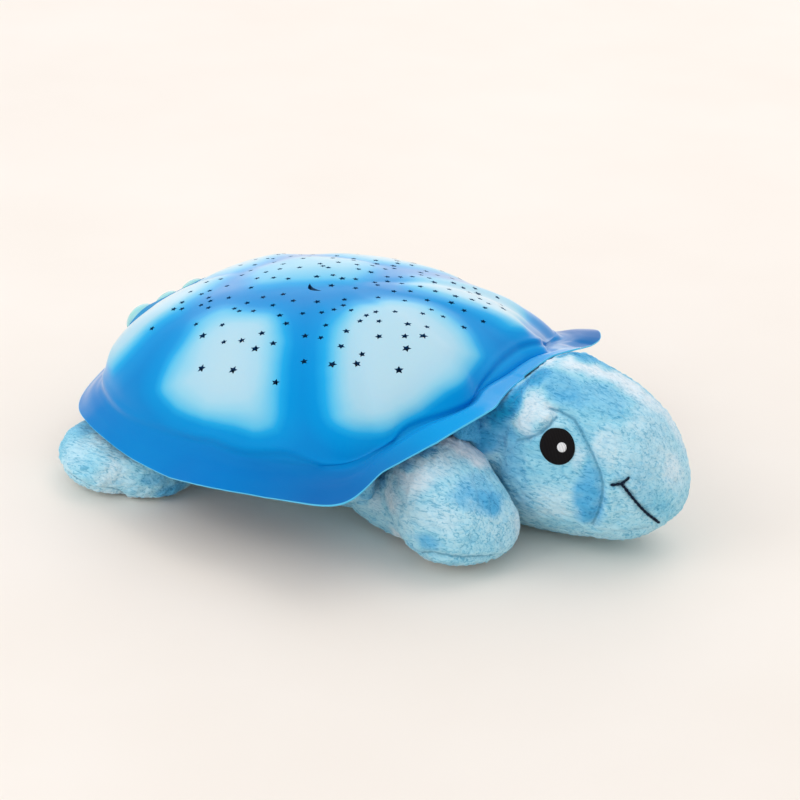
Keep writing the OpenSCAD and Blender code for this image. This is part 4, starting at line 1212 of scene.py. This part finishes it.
# head
JOWL, BROW = (13, 14, 18), (13, 20, 11.3)
head = skin_of("head", "plush_head", VOXEL, [
    ((70, -22, 50), JOWL), ((70, 22, 50), JOWL), ((75.5, -16, 64.3), BROW), ((75.5, 16, 64.3), BROW)])
stuff(head, [
    (NECK, 0, NECK_R + 2, NECK_R + 14), (FORE_X + 12, FORE_Y, 34, 44), (FORE_X + 12, -FORE_Y, 34, 44)])
head_tree = surface_tree(head)
chin = []
for k in range(41):
    a = math.radians(-100 + 200 * k / 40)
    chin.append((NECK + 40 + 50 * math.cos(a), 36 * math.sin(a), 9 + 13 * max(0, math.cos(a))))
cheek, dart = (path_on(head_tree, dense(pixels, 8)) for pixels in (CHEEK_PX, DART_PX))
mouth = [path_on(head_tree, dense(pixels, 3)) for pixels in (SMILE_PX, TICK_PX)]
eye_at, eye_normal = path_on(head_tree, [EYE_PX])[0]
seams = [(chin, 1.1, 1.6)]
seams += [(side, 1.9, 1.7) for path in (cheek, dart) for side in on_both_sides(path)]
seams += [(side, 0.9, 1.3) for path in mouth for side in on_both_sides(path)]
fluff(head, seams, lump=0.8, pile=0.75, lie=(0.8, 0.0, -0.6), calm=[(eye_at, 9.0), (eye_at * FLIP, 9.0)])
tone_spots(head, HEAD_SPOTS, HEAD_SEEN)
finish_plush(head, "head", "head", ((0.060, 0, 0.02), (0.096, 0, 0.02)))


# flippers
def flipper(node_name, name, holds, seam_of, lie, blobs=()):
    """A stuffed flipper with the groove where its top and under panels meet."""
    ob = skin_of(node_name, name, VOXEL, blobs, 9.0)
    stuff(ob, holds)
    fluff(ob, [(seam_of(surface_tree(ob)), 1.5, 1.8)], lump=0.7, pile=0.75, lie=lie)
    return ob


def fore_seam(tree):
    return [p for p, _ in path_on(tree, dense(FORE_SEAM_PX, 5))]


def hind_seam(tree):
    """Round the flipper's edge, in its own plane."""
    seam = []
    for k in range(61):
        a = math.radians(-150 + 300 * k / 60)
        s = HIND_LEN * 0.5 + HIND_LEN * 0.52 * math.cos(a)
        side = HIND_HALF * 1.02 * math.sin(a) * math.sqrt(max(0.0, 1 - 0.35 * (s / HIND_LEN) ** 2))
        along, over = math.cos(HIND_HEADING), math.sin(HIND_HEADING)
        edge = Vector((HIND_X + along * s - over * side, HIND_Y + over * s + along * side, HIND_SEAM_Z))
        seam.append(np.array(tree.find_nearest(edge * MM)[0]) / MM)
    return seam


fore = flipper(
    "fore_flipper_right", "plush_fore_right",
    [(FORE_X, FORE_Y, FORE_ROOT + 1, FORE_ROOT + 10), (NECK, 0, NECK_R + 3, NECK_R + 12)],
    fore_seam, (0.6, -0.5, -0.6), [((29, -50, 19), (30, 22, 18))])
hind = flipper(
    "hind_flipper_right", "plush_hind_right", [(HIND_X, HIND_Y, HIND_ROOT + 1, HIND_ROOT + 10)],
    hind_seam, (-0.7, -0.4, -0.5))
fore_l, hind_l = mirrored(fore, "plush_fore_left"), mirrored(hind, "plush_hind_left")
tone_spots(fore, FORE_SPOTS, FORE_SEEN)
tone_spots(fore_l, FORE_LEFT_SPOTS)
tone_spots(hind, HIND_SPOTS, HIND_SEEN)
tone_spots(hind_l, HIND_LEFT_SPOTS)
for ob, side, name in ((fore, 1, "fore_flipper_right"), (fore_l, -1, "fore_flipper_left")):
    finish_plush(ob, name, name, ((0.022, -0.040 * side, 0.02), (0.049, -0.049 * side, 0.02)))
for ob, name in ((hind, "hind_flipper_right"), (hind_l, "hind_flipper_left")):
    finish_plush(ob, name, name)

# body under the shell
torso = skin_of("torso", "plush_body", BODY_VOXEL)
fluff(torso, lump=0.2, pile=0.3)
tone_spots(torso, TORSO_SHADE_SPOTS, TORSO_SHADE_SEEN)
finish_plush(torso, "base", "torso")


# ---------------------------------------------------------------- face

def disc_on(ob, centre, normal, radius, lift, name, rings, around, dome):
    """A round patch laid on a surface, lifted and domed, in mm, with its edge sunk in."""
    tree = surface_tree(ob)
    n = Vector(normal).normalized()
    x = n.cross(UP).normalized()
    y = n.cross(x)
    places, bases = [], []
    for j in range(rings + 1):
        r = radius * j / rings
        for i in range(around if j else 1):
            a = 2 * math.pi * i / around
            p = Vector(centre) + (x * math.cos(a) + y * math.sin(a)) * r * MM
            hit = tree.ray_cast(p + n * 0.02, -n)[0]
            places.append(p)
            bases.append(0.0 if hit is None else (hit - p).dot(n))
    # smooth the seat so the stitching lies even
    grid = np.array(bases)[1:].reshape(rings, around)
    for _ in range(6):
        grid = (grid + np.roll(grid, 1, 1) + np.roll(grid, -1, 1)) / 3
        inner = np.vstack([grid[:1] * 0 + grid[0].mean(), grid[:-1]])
        outer = np.vstack([grid[1:], grid[-1:]])
        grid = (grid * 2 + inner + outer) / 4
    bases = np.concatenate([[grid[0].mean()], grid.ravel()])
    top = []
    for k, (p, base) in enumerate(zip(places, bases)):
        j = 0 if k == 0 else (k - 1) // around + 1
        height = -0.5 if j == rings else lift + dome * (1 - (j / rings) * (j / rings))
        top.append(p + n * (base + height * MM))
    faces = [(0, 1 + i, 1 + (i + 1) % around) for i in range(around)]
    for j in range(rings - 1):
        for i in range(around):
            a, b = 1 + j * around, 1 + (j + 1) * around
            faces.append((a + i, b + i, b + (i + 1) % around, a + (i + 1) % around))
    disc = mesh_object(name, top, faces, 1)
    with editing(disc.data) as bm:
        bmesh.ops.recalc_face_normals(bm, faces=bm.faces)
        if sum(f.normal.dot(n) for f in bm.faces) < 0:
            bmesh.ops.reverse_faces(bm, faces=bm.faces)
    smooth_faces(disc)
    return disc


EYE_R, GLINT_R, GLINT_OUT, GLINT_UP = 9.5, 2.7, 0.0027, 0.0002  # radii in mm, the glint's place in metres
black = thread_material("eye_thread", srgb(10, 6, 8))
white = thread_material("highlight_thread", srgb(250, 249, 250))
navy = thread_material("mouth_thread", srgb(6, 24, 46))
for side, tag in ((1, "right"), (-1, "left")):
    flip = np.array((1, side, 1))
    centre, n = Vector(eye_at * flip * MM), Vector(eye_normal * flip)
    iris = disc_on(head, centre, n, EYE_R, 0.9, "eye_" + tag + "_disc", 14, 64, 0.5)
    iris.data.materials.append(black)
    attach(iris, "head")
    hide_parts("eye_" + tag)
    forward = n.cross(UP).normalized() * (-side)
    place = centre + forward * GLINT_OUT + UP * GLINT_UP
    glint = disc_on(iris, place, n, GLINT_R, 0.5, "eye_" + tag + "_glint", 5, 28, 0.25)
    glint.data.materials.append(white)
    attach(glint, "head")


def stitches(path, name, radius, length):
    """Short overlapping stitches of thread along a path on the cloth, with sizes in mm."""
    pts = [Vector(p * MM) for p, _ in path]
    nors = [Vector(n) for _, n in path]
    run = [0.0]
    for a, b in zip(pts[:-1], pts[1:]):
        run.append(run[-1] + (b - a).length)
    total = run[-1]
    count = max(2, int(total / (length * MM)))

    def at(s):
        s = min(max(s, 0), total)
        for k in range(len(run) - 1):
            if s <= run[k + 1] + 1e-9:
                t = (s - run[k]) / max(run[k + 1] - run[k], 1e-9)
                return pts[k].lerp(pts[k + 1], t), nors[k].lerp(nors[k + 1], t).normalized()
        return pts[-1], nors[-1]

    ob = mesh_object(name, [], [])
    with editing(ob.data) as bm:
        for k in range(count):
            a, na = at(total * (k - 0.1) / count)
            b, nb = at(total * (k + 1.1) / count)
            n = (na + nb).normalized()
            d = b - a
            if d.length < 1e-6:
                continue
            axes = Matrix((d.normalized(), d.cross(n).normalized(), n)).transposed().to_4x4()
            place = Matrix.Translation((a + b) / 2 + n * radius * 0.35 * MM) @ axes
            size = Matrix.Diagonal((d.length * 0.52, radius * MM, radius * 0.85 * MM, 1))
            bmesh.ops.create_uvsphere(bm, u_segments=10, v_segments=8, radius=1, matrix=place @ size)
    smooth_faces(ob)
    return ob


THREAD_R, STITCH = 0.78, 2.6
mouth += [[(p * FLIP, n * FLIP) for p, n in path] for path in mouth]
smile = join([stitches(path, "mouth", THREAD_R, STITCH) for path in mouth], "mouth_stitching")
smile.data.materials.append(navy)
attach(smile, "head")


# ---------------------------------------------------------------- carried-over pieces

white_abs = plastic("white_abs", srgb(226, 230, 233), 0.5)
# the tray is deep navy as painted shade, so that it stays dark through the holes
tray_shade_abs = plastic("tray_painted_shade", srgb(12, 60, 112), 0.5)
panel_abs = plastic("panel_blue_abs", srgb(40, 150, 205), 0.38)
button_pc = plastic("button_teal_pc", srgb(150, 218, 220), 0.28, Coat_Weight=0.3, Subsurface_Weight=0.2)
dark_abs = plastic("dark_abs", (0.02, 0.02, 0.022), 0.5)
mask = plastic("solder_mask", (0.012, 0.10, 0.05), 0.4)
zinc = metal("zinc_screw", (0.60, 0.61, 0.63))
nickel = metal("nickel_contact", (0.68, 0.67, 0.62), 0.25)
jacket = plastic("cell_jacket", (0.05, 0.20, 0.14), 0.35)
red_pvc = plastic("lead_pvc", (0.35, 0.03, 0.02), 0.45)
black_pvc = plastic("lead_black_pvc", (0.02, 0.02, 0.02), 0.45)
looks = [
    (white_abs, "base_housing battery_door lamp_holder panel_cover"),
    (white_abs, "plunger_left plunger_centre plunger_right"),
    (tray_shade_abs, "tray"), (panel_abs, "control_panel"), (button_pc, "button_left button_centre button_right"),
    (dark_abs, "tact_switches timer_chip"), (mask, "switch_board lamp_board"),
    (zinc, "panel_screws door_screw case_screws shell_screws board_screws"),
    (nickel, "battery_contacts battery_springs"), (jacket, "cells"), (red_pvc, "panel_leads"),
    (black_pvc, "battery_leads")]
lamps = {"amber": (0.85, 0.42, 0.06), "green": (0.10, 0.62, 0.16), "blue": (0.06, 0.16, 0.80)}
for name, colour in lamps.items():
    looks.append((plastic("lamp_" + name + "_lens", colour, 0.15, Transmission_Weight=0.4), "lamp_" + name))
for mat, names in looks:
    for name in names.split():
        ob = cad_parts[name]
        if not ob.material_slots:
            ob.data.materials.append(mat)
        for slot in ob.material_slots:
            slot.material = mat


# ---------------------------------------------------------------- stage and light

bpy.context.scene.view_settings.view_transform = "Standard"
bpy.ops.mesh.primitive_plane_add(size=8, location=(0, 0, 0))
floor = bpy.context.object
floor.name = "floor"
mat, tree, bsdf = material("floor_paint", srgb(246, 241, 237), 0.6)
cloudy = noise_tex(tree, coords(tree), 6)
feed(tree, bsdf, Base_Color=ramp(tree, cloudy, [(0.3, srgb(243, 233, 222)), (0.7, srgb(246, 237, 227))]))
floor.data.materials.append(mat)

world = bpy.data.worlds.new("studio")
bpy.context.scene.world = world
world.use_nodes = True
tree = world.node_tree
bg = tree.nodes["Background"]
feed(tree, bg, Color=(0.95, 0.97, 1.0), Strength=0.85)
backdrop = node(tree, "ShaderNodeBackground", Color=(0.97, 0.94, 0.93), Strength=1.0)
# the camera, gloss and glass see the pale backdrop
rays = node(tree, "ShaderNodeLightPath").outputs
seen = maths(tree, "MAXIMUM", rays["Is Camera Ray"], rays["Is Glossy Ray"])
seen = maths(tree, "MAXIMUM", seen, rays["Is Transmission Ray"])
mixer = node(tree, "ShaderNodeMixShader", Fac=seen)
tree.links.new(bg.outputs[0], mixer.inputs[1])
tree.links.new(backdrop.outputs[0], mixer.inputs[2])
tree.links.new(mixer.outputs[0], tree.nodes["World Output"].inputs["Surface"])


def area(name, place, target, size, power, colour):
    data = bpy.data.lights.new(name, "AREA")
    data.size = size
    data.energy = power
    data.color = colour
    ob = link(bpy.data.objects.new(name, data))
    ob.location = place
    ob.rotation_euler = (Vector(target) - Vector(place)).to_track_quat("-Z", "Y").to_euler()


area("key", (0.30, 0.75, 1.45), (0, 0, 0.04), 1.2, 4.4, (1.0, 0.97, 0.96))
area("window", (-0.9, 1.33, 0.55), (0, 0, 0.08), 1.8, 4.3, (1.0, 0.95, 0.96))
area("fill", (-0.7, -1.1, 0.9), (0, 0, 0.04), 1.2, 6.0, (0.97, 0.98, 1.0))
